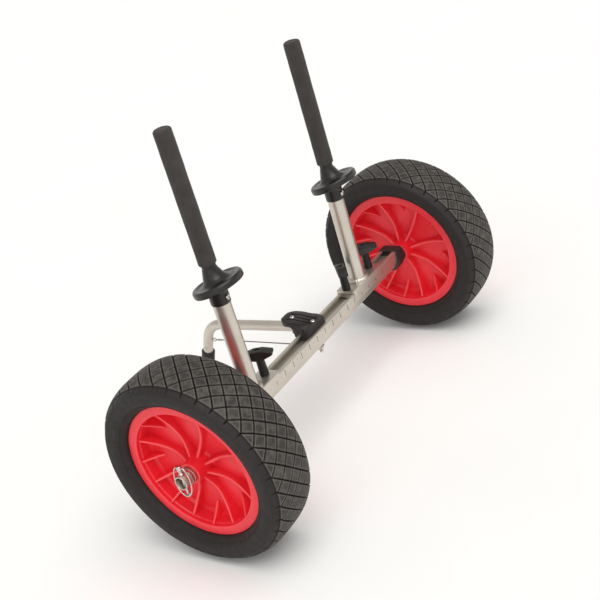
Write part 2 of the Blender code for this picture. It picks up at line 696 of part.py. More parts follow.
def make_clamp(frame, name, post_x, sign, bar_degrees, saddle_joint):
    x = post_x + sign * KNOB_SPACING
    base = SADDLE_TOP + GAP
    turn = frame.joint(name + "_knob_turn", (x, 0, base), saddle_joint)
    stem = [(0.0, base), (6.9 * MM, base), (7.6 * MM, base + 1.2 * MM),
            (6.6 * MM, 60.0 * MM), (0.0, 60.0 * MM)]
    knob = turned(name + "_knob", stem, (0, 0, 0), (0, 0, 1), "black_plastic", steps=16)
    across = Matrix(((1, 0, 0, 0), (0, 0, -1, KNOB_BAR_HALF_WIDTH), (0, 1, 0, 0), (0, 0, 0, 1)))
    bar = extruded("bar", knob_bar_outline(), across, 2 * KNOB_BAR_HALF_WIDTH)
    bevelled(bar, 1.5 * MM, segments=2, angle=60.0)
    join_solid(knob, bar)
    cut(knob, cylinder("bore", (0, 0, 0), (0, 0, 1), STUD_RADIUS + GAP, 20 * MM, STUD_TOP + GAP, steps=12))
    knob.data.transform(Matrix.Translation((x, 0, 0)) @ Matrix.Rotation(math.radians(bar_degrees), 4, "Z"))
    frame.attach(knob, turn)
    stud = cylinder(name + "_stud", (x, 0, 0), (0, 0, 1), STUD_RADIUS, STUD_BOTTOM, STUD_TOP,
                    "steel", steps=12)
    frame.attach(stud, turn)

    top = LIP_UNDERSIDE - GAP
    bottom = top - TNUT_THICKNESS
    wide = CHANNEL_HALF_WIDTH - 0.4 * MM
    boss = SLOT_HALF_WIDTH - 0.4 * MM
    outline = [(-wide, bottom), (wide, bottom), (wide, top), (boss, top), (boss, 22.9 * MM),
               (-boss, 22.9 * MM), (-boss, top), (-wide, top)]
    slide = frame.joint(name + "_tnut_slide", (x, 0, top), saddle_joint)
    nut = extruded(name + "_tnut", outline, along_x(x - TNUT_HALF_LENGTH), 2 * TNUT_HALF_LENGTH, "steel")
    cut(nut, cylinder("thread", (x, 0, 0), (0, 0, 1), STUD_RADIUS + GAP, 10 * MM, 30 * MM, steps=12))
    frame.attach(nut, slide)


# ---------------------------------------------------------------- kickstand

def leg_direction():
    return Vector((0.0, math.sin(LEG_ANGLE), -math.cos(LEG_ANGLE)))


def leg_point(z):
    """Point on the leg's centre line at height z."""
    way = leg_direction()
    return Vector((STAND_X, BEND_CORNER.y, BEND_CORNER.z)) + way * ((z - BEND_CORNER.z) / way.z)


def stand_path():
    """Centre line: out of the block, round the bend and down the leg."""
    outwards = Vector((0.0, 1.0, -STAND_DROOP)).normalized()
    downwards = leg_direction()
    corner = Vector((STAND_X, BEND_CORNER.y, BEND_CORNER.z))
    turn = outwards.angle(downwards)
    reach = BEND_RADIUS * math.tan(turn / 2)
    start = Vector((STAND_X, STAND_TUBE_START,
                    corner.z + STAND_DROOP * (corner.y - STAND_TUBE_START)))
    bend_start = corner - outwards * reach
    inward = (downwards - outwards * downwards.dot(outwards)).normalized()
    centre = bend_start + inward * BEND_RADIUS
    path = [start]
    steps = 6
    for i in range(steps + 1):
        angle = turn * i / steps
        path.append(centre - inward * (BEND_RADIUS * math.cos(angle))
                    + outwards * (BEND_RADIUS * math.sin(angle)))
    path.append(leg_point(LEG_TUBE_END))
    return path


def make_stand(frame):
    joint = frame.joint("stand_swing", (STAND_X, PIVOT_Y, STAND_TUBE_Z))
    tube = swept("stand_tube", stand_path(), STAND_TUBE_RADIUS, "aluminium", bore=STAND_TUBE_BORE, steps=14)
    button_hole = cylinder("hole", leg_point(BUTTON_Z), (-1, 0, 0), BUTTON_RADIUS + GAP, 0, 15 * MM, steps=14)
    eyelet_hole = cylinder("hole", leg_point(EYELET.z), (0, -1, 0), EYELET_WIRE + 0.9 * MM,
                           0, 15 * MM, steps=12)
    pivot_hole = cylinder("hole", (STAND_X, PIVOT_Y, 0), (0, 0, 1), CLAMP_SCREW_RADIUS + GAP,
                          0, 45 * MM, steps=16)
    cut(tube, pivot_hole, button_hole, eyelet_hole)
    frame.attach(tube, joint)
    make_foot(frame, joint)
    make_button(frame, joint)
    make_eyelet(frame, joint)


def make_foot(frame, joint):
    """Black sleeve over the leg, closed below and cut flat on the ground."""
    way = leg_direction()
    top = leg_point(FOOT_TOP)
    inner_end = leg_point(LEG_TUBE_END) + way * GAP
    length = (leg_point(-TYRE_RADIUS) - top).length + 12 * MM
    deep = (inner_end - top).length
    profile = [(FOOT_BORE, 0.0), (FOOT_RADIUS - MM, 0.0), (FOOT_RADIUS, MM), (FOOT_RADIUS, length),
               (0.0, length), (0.0, deep), (FOOT_BORE, deep)]
    foot = turned("stand_foot", profile, top, way, "black_plastic", steps=24)
    below = 60 * MM
    cut(foot, box("ground", (-below, 200 * MM, -TYRE_RADIUS - below), (below, 400 * MM, -TYRE_RADIUS)))
    frame.attach(foot, joint)


def make_button(frame, joint):
    """Snap button that locks the black lower leg on the tube."""
    press = frame.joint("stand_button_press", leg_point(BUTTON_Z), joint)
    inner = STAND_TUBE_BORE - 3.0 * MM
    outer = STAND_TUBE_RADIUS + 2.2 * MM
    profile = [(0.0, inner), (BUTTON_RADIUS, inner), (BUTTON_RADIUS, outer - MM),
               (BUTTON_RADIUS - MM, outer), (0.0, outer)]
    button = turned("stand_button", profile, leg_point(BUTTON_Z), (-1, 0, 0), "steel", steps=14)
    frame.attach(button, press)


def make_eyelet(frame, joint):
    """Wire ring on a shank that goes into the leg, for the end of the stay."""
    root = leg_point(EYELET.z)
    steps = 10
    ring_path = []
    for k in range(steps):
        a = 2 * math.pi * k / steps
        ring_path.append(EYELET + Vector((0.0, EYELET_RING * math.cos(a), EYELET_RING * math.sin(a))))
    ring = swept("stay_eyelet", ring_path, EYELET_WIRE, "steel", steps=6, closed=True)
    reach = root.y - EYELET.y
    shank = cylinder("shank", root, (0, -1, 0), EYELET_WIRE + 0.3 * MM,
                     STAND_TUBE_BORE - 1.0 * MM, reach - EYELET_RING + 0.4 * MM, steps=10)
    join_solid(ring, shank)
    frame.attach(ring, joint)


def block_side_outline():
    """The block seen from its end: the top climbs to the back, over the rail's edge."""
    back = PIVOT_Y + BLOCK_HALF_WIDTH
    shelf = RAIL_TOP + GAP
    return [(BLOCK_FRONT, shelf), (RAIL_HALF_WIDTH + GAP, shelf), (RAIL_HALF_WIDTH + GAP, BLOCK_BOTTOM),
            (back, BLOCK_BOTTOM), (back, BLOCK_BACK_TOP - 3 * MM), (back - 6 * MM, BLOCK_BACK_TOP),
            (30 * MM, BLOCK_BACK_TOP - MM), (BLOCK_FRONT + 5 * MM, BLOCK_FRONT_TOP),
            (BLOCK_FRONT, BLOCK_FRONT_TOP - 4 * MM)]


def block_plan_outline():
    """The block seen from above: a flared foot at the front and a round back."""
    flare = 34.0 * MM
    half = BLOCK_HALF_WIDTH
    plan = [(flare * 0.55, BLOCK_FRONT), (flare * 0.6, -4 * MM), (half + 2 * MM, 4 * MM), (half, 12 * MM)]
    plan += arc((0.0, PIVOT_Y), half, 0, 180, 10)
    plan += [(-half, 12 * MM), (-half - 3 * MM, 4 * MM), (-flare, -4 * MM), (-flare, BLOCK_FRONT)]
    return [(STAND_X + x, y) for x, y in plan]


def seat_tool(name, axis_x, axis_y):
    """Round-topped slot for the tube, open below, from the pivot outwards."""
    low = BLOCK_BOTTOM - 5 * MM
    spring = SEAT_CEILING - SEAT_HALF_WIDTH
    outline = [(-SEAT_HALF_WIDTH, low), (SEAT_HALF_WIDTH, low)]
    outline += arc((0.0, spring), SEAT_HALF_WIDTH, 0, 180, 8)
    side = Vector((-axis_y, axis_x, 0))
    way = Vector((axis_x, axis_y, 0))
    place = Matrix((
        (side.x, 0, way.x, STAND_X), (side.y, 0, way.y, PIVOT_Y), (0, 1, 0, 0), (0, 0, 0, 1)))
    return extruded(name, outline, place, 60 * MM)


def sector_tool():
    """Quarter that the tube sweeps between its two seats."""
    radius = 40 * MM
    outline = [(0.0, 0.0)] + arc((0.0, 0.0), radius, 90, 180, 6)
    outline = [(STAND_X + x, PIVOT_Y + y) for x, y in outline]
    low = BLOCK_BOTTOM - 5 * MM
    return extruded("sector", outline, upwards(low), SEAT_CEILING - 0.4 * MM - low)


def make_block(frame):
    block = extruded("stand_block", block_side_outline(), along_x(STAND_X - 60 * MM), 120 * MM,
                     "black_plastic")
    plan = extruded("plan", block_plan_outline(), upwards(0.0), 60 * MM)
    combine(block, plan, "INTERSECT")
    bevelled(block, 1.5 * MM, segments=1, angle=50.0)
    tongue_half = SLOT_HALF_WIDTH - 0.4 * MM
    tongue = box("tongue", (STAND_X - 30 * MM, -tongue_half, CHANNEL_FLOOR + GAP),
                 (STAND_X + 18 * MM, tongue_half, RAIL_TOP + 6 * MM))
    join_solid(block, tongue)
    turning_room = 15.2 * MM
    cut(block,
        seat_tool("out_seat", 0, 1), seat_tool("stow_seat", -1, 0), sector_tool(),
        cylinder("well", (STAND_X, PIVOT_Y, 0), (0, 0, 1), turning_room, 0, SEAT_CEILING, steps=28),
        cylinder("pivot_hole", (STAND_X, PIVOT_Y, 0), (0, 0, 1), CLAMP_SCREW_RADIUS + GAP,
                 20 * MM, 60 * MM, steps=16),
        cylinder("clamp_hole", (STAND_X, 0, 0), (0, 0, 1), CLAMP_SCREW_RADIUS + GAP,
                 5 * MM, 60 * MM, steps=16),
        cylinder("pivot_recess", (STAND_X, PIVOT_Y, 0), (0, 0, 1), 5.2 * MM, 38.6 * MM, 60 * MM, steps=16),
        cylinder("clamp_recess", (STAND_X, 0, 0), (0, 0, 1), 5.2 * MM, 33.2 * MM, 60 * MM, steps=16))
    frame.attach(block)


def make_bolt(frame, name, y, head_bottom, tip):
    """Pan-head machine screw standing upright."""
    r = CLAMP_SCREW_RADIUS
    profile = [(0.0, tip), (r - 0.6 * MM, tip), (r, tip + 0.8 * MM), (r, head_bottom),
               (4.6 * MM, head_bottom), (4.6 * MM, head_bottom + 1.4 * MM),
               (3.2 * MM, head_bottom + 2.7 * MM), (0.0, head_bottom + 3.0 * MM)]
    frame.attach(turned(name, profile, (STAND_X, y, 0), (0, 0, 1), "steel", steps=14))


def make_nut(frame, name, y, top):
    """Hexagon nut with a washer face, under the tube or the rail."""
    washer = 1.4 * MM
    height = 6.0 * MM
    bore = CLAMP_SCREW_RADIUS + GAP
    ring = [(bore, top - washer), (bore, top), (7.5 * MM, top), (7.5 * MM, top - washer)]
    nut = turned(name, ring, (STAND_X, y, 0), (0, 0, 1), "steel", steps=20)
    hexagon = arc((STAND_X, y), 5.8 * MM, 0, 300, 5)
    body = extruded("hexagon", hexagon, upwards(top - height), height - washer / 2)
    cut(body, cylinder("bore", (STAND_X, y, 0), (0, 0, 1), bore, top - 2 * height, top + height, steps=20))
    join_solid(nut, body)
    frame.attach(nut)


def make_stay(frame):
    """Anchor on the rail's back, and the wire stay from it to the leg's eyelet."""
    profile = [(0.0, 0.0), (3.1 * MM, 0.0), (3.1 * MM, 2.6 * MM), (1.8 * MM, 4.2 * MM), (0.0, 4.2 * MM)]
    anchor = turned("stay_anchor", profile, ANCHOR, (0, 1, 0), "steel", steps=14)
    frame.attach(anchor)
    start = ANCHOR + Vector((0.0, 4.5 * MM, 0.0))
    towards = EYELET - start
    end = EYELET - towards.normalized() * (EYELET_RING + EYELET_WIRE + GAP)
    steps = 4
    path = [start.lerp(end, i / steps) for i in range(steps + 1)]
    frame.attach(swept("stay_cable", path, STAY_RADIUS, "steel", steps=6))


# ---------------------------------------------------------------- the cart

def main():
    clear_scene()
    frame = Frame()
    make_axle(frame)
    make_rail(frame)
    for side in ("left", "right"):
        make_end_cap(frame, side)
        make_spacer(frame, side)
        make_wheel(frame, side)
        make_lock_pin(frame, side)
    saddles = {
        LEFT_POST_X: make_post_set(frame, "left", LEFT_POST_X),
        RIGHT_POST_X: make_post_set(frame, "right", RIGHT_POST_X),
    }
    for name, (post_x, sign, bar_degrees) in KNOBS.items():
        make_clamp(frame, name, post_x, sign, bar_degrees, saddles[post_x])
    make_block(frame)
    make_stand(frame)
    make_bolt(frame, "stand_clamp_screw", 0.0, 33.5 * MM, -26.0 * MM)
    make_nut(frame, "stand_clamp_nut", 0.0, -RAIL_BELLY_RADIUS - GAP)
    make_bolt(frame, "stand_pivot_bolt", PIVOT_Y, 38.9 * MM, 4.0 * MM)
    make_nut(frame, "stand_pivot_nut", PIVOT_Y, STAND_TUBE_Z - STAND_TUBE_RADIUS - 0.8 * MM)
    make_stay(frame)


main()
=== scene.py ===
"""Looks of the two-wheeled plug-in boat cart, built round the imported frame.

Shapes are made in millimetres, measured from the middle of the axle, with +X along
the axle and +Z up. settle() scales each finished piece to metres and moves it to the
axle of the loaded frame. Where a piece stands comes from the frame's own boxes.
"""
import math

import bmesh
import bpy
import numpy as np
from mathutils import Matrix, Vector


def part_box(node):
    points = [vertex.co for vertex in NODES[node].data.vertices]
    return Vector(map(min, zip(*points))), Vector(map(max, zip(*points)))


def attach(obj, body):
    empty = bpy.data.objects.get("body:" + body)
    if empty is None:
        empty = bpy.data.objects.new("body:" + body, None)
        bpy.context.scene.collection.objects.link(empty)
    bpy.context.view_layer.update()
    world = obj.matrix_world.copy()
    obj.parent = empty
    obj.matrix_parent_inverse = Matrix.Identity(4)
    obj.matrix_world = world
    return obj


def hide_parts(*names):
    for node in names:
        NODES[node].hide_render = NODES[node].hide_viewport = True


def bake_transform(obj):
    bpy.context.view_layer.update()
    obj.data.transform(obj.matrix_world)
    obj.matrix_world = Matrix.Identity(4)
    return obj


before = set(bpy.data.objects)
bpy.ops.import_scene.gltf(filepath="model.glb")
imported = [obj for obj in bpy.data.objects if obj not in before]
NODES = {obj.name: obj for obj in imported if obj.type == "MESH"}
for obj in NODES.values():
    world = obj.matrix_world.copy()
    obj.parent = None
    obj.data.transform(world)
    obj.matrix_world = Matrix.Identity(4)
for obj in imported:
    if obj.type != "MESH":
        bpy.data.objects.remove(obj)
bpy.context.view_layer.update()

MM = 0.001
RUNNING_BORE = 11.45            # radius of every hole that the axle goes through
BOLT_HOLE = 3.3                 # radius of the holes for the kickstand's bolts and button
COLLAR_HOLE = 2.4               # radius of the collar screws' holes
STUD_HOLE = 4.2                 # radius of the holes for the knobs' studs


# ---------------------------------------------------------------- places, from the frame

def corners(node):
    """A node's lowest and highest corner in millimetres from the axle's middle."""
    low, high = (Vector(corner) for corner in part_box(node))
    return (low - AXLE) / MM, (high - AXLE) / MM


def middle(node):
    low, high = corners(node)
    return (low + high) / 2


AXLE = sum((Vector(corner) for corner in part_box("axle_tube")), Vector()) / 2
SIDES = {"left": -1, "right": 1}
WHEEL_X = middle("right_rim").x
AXLE_END = corners("axle_tube")[1].x
PIN_X = middle("right_lock_pin").x
POST_X = {side: middle(side + "_post_core").x for side in SIDES}
KNOB_TURN = {"left_outer": 25.0, "left_inner": -65.0, "right_inner": 41.0, "right_outer": -52.0}
STAND_X = middle("stand_pivot_bolt").x
PIVOT_Y = middle("stand_pivot_bolt").y
EYELET = Vector((STAND_X, corners("stay_eyelet")[0].y + 4.2, middle("stay_eyelet").z))
ANCHOR = Vector((middle("stay_anchor").x, corners("stay_anchor")[0].y, middle("stay_anchor").z))


# ---------------------------------------------------------------- camera, light and floor

CAMERA_PLACE = (-1.3043, -1.14595, 1.0478)
CAMERA_RIGHT = (0.51206591, -0.8164329, -0.26688166)
CAMERA_UP = (0.50734099, 0.03676652, 0.86096071)
CAMERA_LENS = 68.323


def make_camera():
    data = bpy.data.cameras.new("camera")
    data.sensor_width = 36.0
    data.lens = CAMERA_LENS
    data.clip_start = 0.01
    camera = bpy.data.objects.new("camera", data)
    bpy.context.scene.collection.objects.link(camera)
    right = Vector(CAMERA_RIGHT).normalized()
    up = Vector(CAMERA_UP).normalized()
    turn = Matrix((right, up, right.cross(up))).transposed().to_4x4()
    camera.matrix_world = Matrix.Translation(CAMERA_PLACE) @ turn
    bpy.context.scene.camera = camera


def make_sun(name, from_way, strength, angle, colour=(1.0, 1.0, 1.0)):
    """A soft far light: the larger its angle, the softer its shadows."""
    data = bpy.data.lights.new(name, "SUN")
    data.energy = strength
    data.angle = math.radians(angle)
    data.color = colour
    light = bpy.data.objects.new(name, data)
    bpy.context.scene.collection.objects.link(light)
    light.rotation_euler = Vector(from_way).to_track_quat("Z", "Y").to_euler()


def make_studio():
    scene = bpy.context.scene
    scene.view_settings.view_transform = "Standard"
    world = bpy.data.worlds.new("studio")
    world.use_nodes = True
    background = world.node_tree.nodes["Background"]
    tree = world.node_tree
    place = tree.nodes.new("ShaderNodeTexCoord")
    split = tree.nodes.new("ShaderNodeSeparateXYZ")
    tree.links.new(place.outputs["Generated"], split.inputs["Vector"])
    sky = tree.nodes.new("ShaderNodeValToRGB")
    tree.links.new(split.outputs["Z"], sky.inputs["Fac"])
    horizon, overhead = sky.color_ramp.elements
    horizon.position, horizon.color = 0.1, (0.93, 0.925, 0.915, 1.0)
    overhead.position, overhead.color = 0.5, (0.52, 0.515, 0.505, 1.0)
    tree.links.new(sky.outputs["Color"], background.inputs["Color"])
    scene.world = world
    make_sun("key", (-0.1, -0.4, 1.0), 1.75, 50.0, (1.0, 0.985, 0.96))
    make_sun("side", (-1.0, -0.5, 0.7), 0.5, 70.0)
    bm = bmesh.new()
    bmesh.ops.create_grid(bm, x_segments=8, y_segments=8, size=12.0)
    mesh = bpy.data.meshes.new("floor")
    bm.to_mesh(mesh)
    floor = bpy.data.objects.new("floor", mesh)
    scene.collection.objects.link(floor)
    mesh.materials.append(MATERIALS["floor"])


# ---------------------------------------------------------------- materials

class Graph:
    """A material's node tree round one Principled shader."""

    def __init__(self, name, colour, roughness, metallic=0.0, **constants):
        self.material = bpy.data.materials.new(name)
        self.material.use_nodes = True
        self.tree = self.material.node_tree
        self.shader = self.tree.nodes["Principled BSDF"]
        self.set_input("Base Color", (*colour, 1.0))
        self.set_input("Roughness", roughness)
        self.set_input("Metallic", metallic)
        for key, value in constants.items():
            self.set_input(key.replace("_", " "), value)
        self.place = self.add("ShaderNodeTexCoord").outputs["Object"]

    def set_input(self, name, value):
        self.shader.inputs[name].default_value = value

    def add(self, kind, **values):
        node = self.tree.nodes.new(kind)
        for key, value in values.items():
            setattr(node, key, value)
        return node

    def link(self, source, target):
        self.tree.links.new(source, target)

    def noise(self, scale, detail=3.0, stretch=(1.0, 1.0, 1.0), roughness=0.55):
        mapping = self.add("ShaderNodeMapping")
        mapping.inputs["Scale"].default_value = stretch
        self.link(self.place, mapping.inputs["Vector"])
        node = self.add("ShaderNodeTexNoise")
        node.inputs["Scale"].default_value = scale
        node.inputs["Detail"].default_value = detail
        node.inputs["Roughness"].default_value = roughness
        self.link(mapping.outputs["Vector"], node.inputs["Vector"])
        return node.outputs["Fac"]

    def pores(self, scale):
        node = self.add("ShaderNodeTexVoronoi")
        node.inputs["Scale"].default_value = scale
        self.link(self.place, node.inputs["Vector"])
        return node.outputs["Distance"]

    def spread(self, source, low, high, source_low=0.3, source_high=0.7):
        """Maps a value to the range low..high."""
        node = self.add("ShaderNodeMapRange")
        node.inputs["From Min"].default_value = source_low
        node.inputs["From Max"].default_value = source_high
        node.inputs["To Min"].default_value = low
        node.inputs["To Max"].default_value = high
        self.link(source, node.inputs["Value"])
        return node.outputs["Result"]

    def ramp(self, source, *stops):
        """Colours along a value: each stop is (position, colour)."""
        node = self.add("ShaderNodeValToRGB")
        elements = node.color_ramp.elements
        while len(elements) < len(stops):
            elements.new(0.5)
        for element, (position, colour) in zip(elements, stops):
            element.position = position
            element.color = (*colour, 1.0)
        self.link(source, node.inputs["Fac"])
        return node.outputs["Color"]

    def blend(self, factor, first, second, kind="MIX"):
        node = self.add("ShaderNodeMix", data_type="RGBA", blend_type=kind)
        self.link(factor, node.inputs["Factor"])
        for colour, socket in ((first, node.inputs["A"]), (second, node.inputs["B"])):
            if isinstance(colour, tuple):
                socket.default_value = (*colour, 1.0)
            else:
                self.link(colour, socket)
        return node.outputs["Result"]

    def bump(self, height, distance, strength=1.0, after=None):
        node = self.add("ShaderNodeBump")
        node.inputs["Distance"].default_value = distance
        node.inputs["Strength"].default_value = strength
        self.link(height, node.inputs["Height"])
        if after is not None:
            self.link(after, node.inputs["Normal"])
        return node.outputs["Normal"]

    def edges(self, radius):
        """1 on convex edges and corners, 0 on flat faces."""
        near = self.add("ShaderNodeNewGeometry").outputs["Pointiness"]
        return self.spread(near, 0.0, 1.0, 0.5 + radius, 0.5 + 3 * radius)

    def use(self, name, source):
        self.link(source, self.shader.inputs[name])


def aluminium(name, along):
    """Satin anodised aluminium, drawn along one axis: fine streaks, handling marks."""
    made = Graph(name, (0.61, 0.56, 0.49), 0.38, 0.9)
    stretch = tuple(0.02 if axis == along else 1.0 for axis in "xyz")
    streaks = made.noise(2600.0, 2.0, stretch)
    smears = made.noise(26.0, 4.0)
    made.use("Base Color", made.ramp(smears, (0.3, (0.58, 0.535, 0.465)), (0.7, (0.65, 0.605, 0.535))))
    made.use("Roughness", made.spread(streaks, 0.31, 0.43))
    made.use("Normal", made.bump(streaks, 0.00004, 0.5))
    return made.material


def steel(name, colour, roughness, grain):
    made = Graph(name, colour, roughness, 1.0)
    spots = made.noise(grain, 3.0)
    dark = tuple(0.9 * value for value in colour)
    made.use("Base Color", made.ramp(spots, (0.35, dark), (0.6, colour)))
    made.use("Roughness", made.spread(spots, roughness - 0.07, roughness + 0.1))
    made.use("Normal", made.bump(made.noise(grain * 3, 2.0), 0.00001, 0.3))
    return made.material


def red_plastic():
    """Moulded polypropylene: bright, a little translucent, faint flow marks, soft grain, convex edges painted
    lighter as highlights.
    """
    made = Graph("red_plastic", (0.83, 0.018, 0.034), 0.38, Subsurface_Weight=0.06, Subsurface_Scale=0.004)
    made.set_input("Subsurface Radius", (1.0, 0.12, 0.10))
    flow = made.noise(38.0, 3.0, (1.0, 1.0, 1.0))
    colour = made.ramp(flow, (0.3, (0.80, 0.014, 0.030)), (0.7, (0.87, 0.024, 0.040)))
    # convex edges and corners painted lighter: a painted highlight
    made.use("Base Color", made.blend(made.edges(0.012), colour, (0.92, 0.075, 0.085)))
    made.use("Roughness", made.spread(made.noise(240.0, 3.0), 0.33, 0.46))
    made.use("Normal", made.bump(made.noise(1900.0, 2.0), 0.00004, 0.6))
    return made.material


def tyre_rubber():
    """Solid rubber: dusty block tops, grooves and notches painted dark as shade, a painted shadow line under
    the tread's edge, darker sidewall with faint moulding rings, block edges painted lighter as highlights.
    """
    made = Graph("tyre_rubber", (0.035, 0.032, 0.031), 0.62, Specular_IOR_Level=0.28)
    relief_and_painted_shade = made.add("ShaderNodeAttribute", attribute_name="relief_and_painted_shade").outputs["Fac"]
    # low end of the ramp is painted shade in grooves and notches and a painted shadow under the tread's edge;
    # 1.0 is the block tops
    base = made.ramp(relief_and_painted_shade, (0.0, (0.005, 0.0043, 0.004)), (0.45, (0.020, 0.0172, 0.0165)),
                     (1.0, (0.031, 0.0275, 0.0255)))
    scuffs = made.noise(95.0, 5.0, roughness=0.65)
    dust = made.spread(scuffs, 0.0, 0.6, 0.44, 0.68)
    dusty = made.blend(dust, base, (0.14, 0.126, 0.112))
    # convex block edges painted lighter: a painted highlight where the edges catch the light
    painted_edge_highlight = made.blend(made.edges(0.01), dusty, (0.095, 0.086, 0.078))
    made.use("Base Color", made.blend(made.spread(relief_and_painted_shade, 0.0, 1.0, 0.5, 1.0), base, painted_edge_highlight))
    made.use("Roughness", made.spread(scuffs, 0.5, 0.74))
    grain = made.bump(made.noise(1500.0, 3.0), 0.00012, 0.6)
    made.use("Normal", made.bump(made.noise(150.0, 4.0), 0.0004, 0.35, grain))
    return made.material


def nylon(name, colour, roughness, grain, specular=0.3):
    """Glass-filled nylon: a fine moulded grain, convex edges and corners a little lighter."""
    made = Graph(name, colour, roughness, Specular_IOR_Level=specular)
    cloud = made.noise(70.0, 4.0)
    lighter = tuple(1.5 * value for value in colour)
    body = made.ramp(cloud, (0.3, tuple(0.8 * value for value in colour)), (0.7, lighter))
    edge_tone = tuple(4.0 * value for value in colour)
    # convex edges and corners coloured four times lighter than the body
    made.use("Base Color", made.blend(made.edges(0.02), body, edge_tone))
    made.use("Roughness", made.spread(cloud, roughness - 0.07, roughness + 0.08))
    made.use("Normal", made.bump(made.noise(grain, 2.0), 0.00008, 0.7))
    return made.material


def foam():
    """Closed-cell foam: matt, fine open pores on the skin, soft lighter rubs."""
    made = Graph("black_foam", (0.03, 0.029, 0.028), 0.9, Specular_IOR_Level=0.3, Sheen_Weight=0.1,
                 Sheen_Roughness=0.6)
    made.set_input("Sheen Tint", (0.75, 0.72, 0.70, 1.0))
    cells = made.pores(1300.0)
    cloud = made.noise(60.0, 4.0)
    body = made.ramp(cloud, (0.3, (0.056, 0.049, 0.047)), (0.75, (0.082, 0.072, 0.069)))
    made.use("Base Color", made.blend(made.spread(cells, 0.0, 0.6, 0.0, 0.35), (0.008, 0.008, 0.008), body))
    fine = made.bump(cells, 0.0004, 0.6)
    made.use("Normal", made.bump(made.noise(220.0, 4.0), 0.0005, 0.35, fine))
    return made.material


def floor_material():
    made = Graph("floor", (0.90, 0.90, 0.895), 0.8, Specular_IOR_Level=0.2)
    made.use("Base Color", made.ramp(made.noise(3.0, 2.0), (0.3, (0.885, 0.885, 0.88)),
                                     (0.7, (0.905, 0.905, 0.90))))
    return made.material


def ink():
    made = Graph("scale_ink", (0.03, 0.027, 0.025), 0.55)
    made.use("Base Color", made.ramp(made.noise(900.0, 3.0), (0.3, (0.02, 0.018, 0.016)),
                                     (0.75, (0.06, 0.055, 0.05))))
    return made.material


MATERIALS = {
    "floor": floor_material(),
    "aluminium_x": aluminium("satin_aluminium_x", "x"),
    "aluminium_y": aluminium("satin_aluminium_y", "y"),
    "aluminium_z": aluminium("satin_aluminium_z", "z"),
    "steel": steel("plated_steel", (0.62, 0.60, 0.565), 0.26, 160.0),
    "wire": steel("stay_wire", (0.20, 0.185, 0.17), 0.36, 300.0),
    "red": red_plastic(),
    "rubber": tyre_rubber(),
    "nylon": nylon("black_nylon", (0.009, 0.0078, 0.0075), 0.44, 1400.0),
    "gloss": nylon("gloss_black", (0.012, 0.0102, 0.0098), 0.31, 700.0, 0.42),
    "foam": foam(),
    "ink": ink(),
}


# ---------------------------------------------------------------- mesh helpers

UPRIGHT = (0.0, 0.0, 1.0)


def arc(centre, radius, start, end, steps):
    """Points on an arc, in degrees, both ends included."""
    angles = [math.radians(start + (end - start) * i / steps) for i in range(steps + 1)]
    return [(centre[0] + radius * math.cos(a), centre[1] + radius * math.sin(a)) for a in angles]


def rounded(points, radius, steps=4):
    """A closed outline with its corners rounded; radius is one value, or one a corner."""
    count = len(points)
    radii = radius if isinstance(radius, (list, tuple)) else [radius] * count
    made = []
    for i, point in enumerate(points):
        here = Vector(point)
        back = Vector(points[i - 1]) - here
        ahead = Vector(points[(i + 1) % count]) - here
        angle = back.angle(ahead)
        if radii[i] <= 0 or angle > math.radians(176):
            made.append(tuple(here))
            continue
        reach = min(radii[i] / math.tan(angle / 2), 0.48 * back.length, 0.48 * ahead.length)
        size = reach * math.tan(angle / 2)
        inward = (back.normalized() + ahead.normalized()).normalized()
        centre = here + inward * (size / math.sin(angle / 2))
        first = here + back.normalized() * reach - centre
        last = here + ahead.normalized() * reach - centre
        for k in range(steps + 1):
            way = first.lerp(last, k / steps)
            made.append(tuple(centre + way.normalized() * size))
    return made


def new_object(name, bm, smooth=35.0, place=None):
    if place is not None:
        bmesh.ops.transform(bm, matrix=place, verts=bm.verts)
    bmesh.ops.recalc_face_normals(bm, faces=bm.faces)
    mesh = bpy.data.meshes.new(name)
    bm.to_mesh(mesh)
    bm.free()
    shade(mesh, smooth)
    obj = bpy.data.objects.new(name, mesh)
    bpy.context.scene.collection.objects.link(obj)
    return obj


def shade(mesh, smooth):
    mesh.shade_smooth()
    mesh.set_sharp_from_angle(angle=math.radians(smooth))


def lathe(name, profile, centre=(0, 0, 0), axis=UPRIGHT, steps=96, shape=None, smooth=35.0):
    """Turns a closed (radius, height) outline. shape moves (radius, height) by the angle."""
    bm = bmesh.new()
    rings = []
    for radius, height in profile:
        if radius < 1e-6:
            rings.append([bm.verts.new((0.0, 0.0, height))] * steps)
            continue
        ring = []
        for k in range(steps):
            angle = 2 * math.pi * k / steps
            r, h = shape(radius, height, angle) if shape else (radius, height)
            ring.append(bm.verts.new((r * math.cos(angle), r * math.sin(angle), h)))
        rings.append(ring)
    skin(bm, rings + rings[:1])
    turn = Vector(axis).normalized().to_track_quat("Z", "Y").to_matrix().to_4x4()
    return new_object(name, bm, smooth, Matrix.Translation(centre) @ turn)


def skin(bm, rings):
    """Faces between neighbouring rings; a ring of one repeated vertex is a pole."""
    for first, second in zip(rings, rings[1:]):
        for k in range(len(first)):
            n = (k + 1) % len(first)
            face = dict.fromkeys((first[k], first[n], second[n], second[k]))
            if len(face) > 2:
                bm.faces.new(tuple(face))


def rod(name, centre, axis, radius, low, high, steps=48, edge=0.0):
    profile = rounded([(0, low), (radius, low), (radius, high), (0, high)], [0, edge, edge, 0], 3)
    return lathe(name, profile, centre, axis, steps)


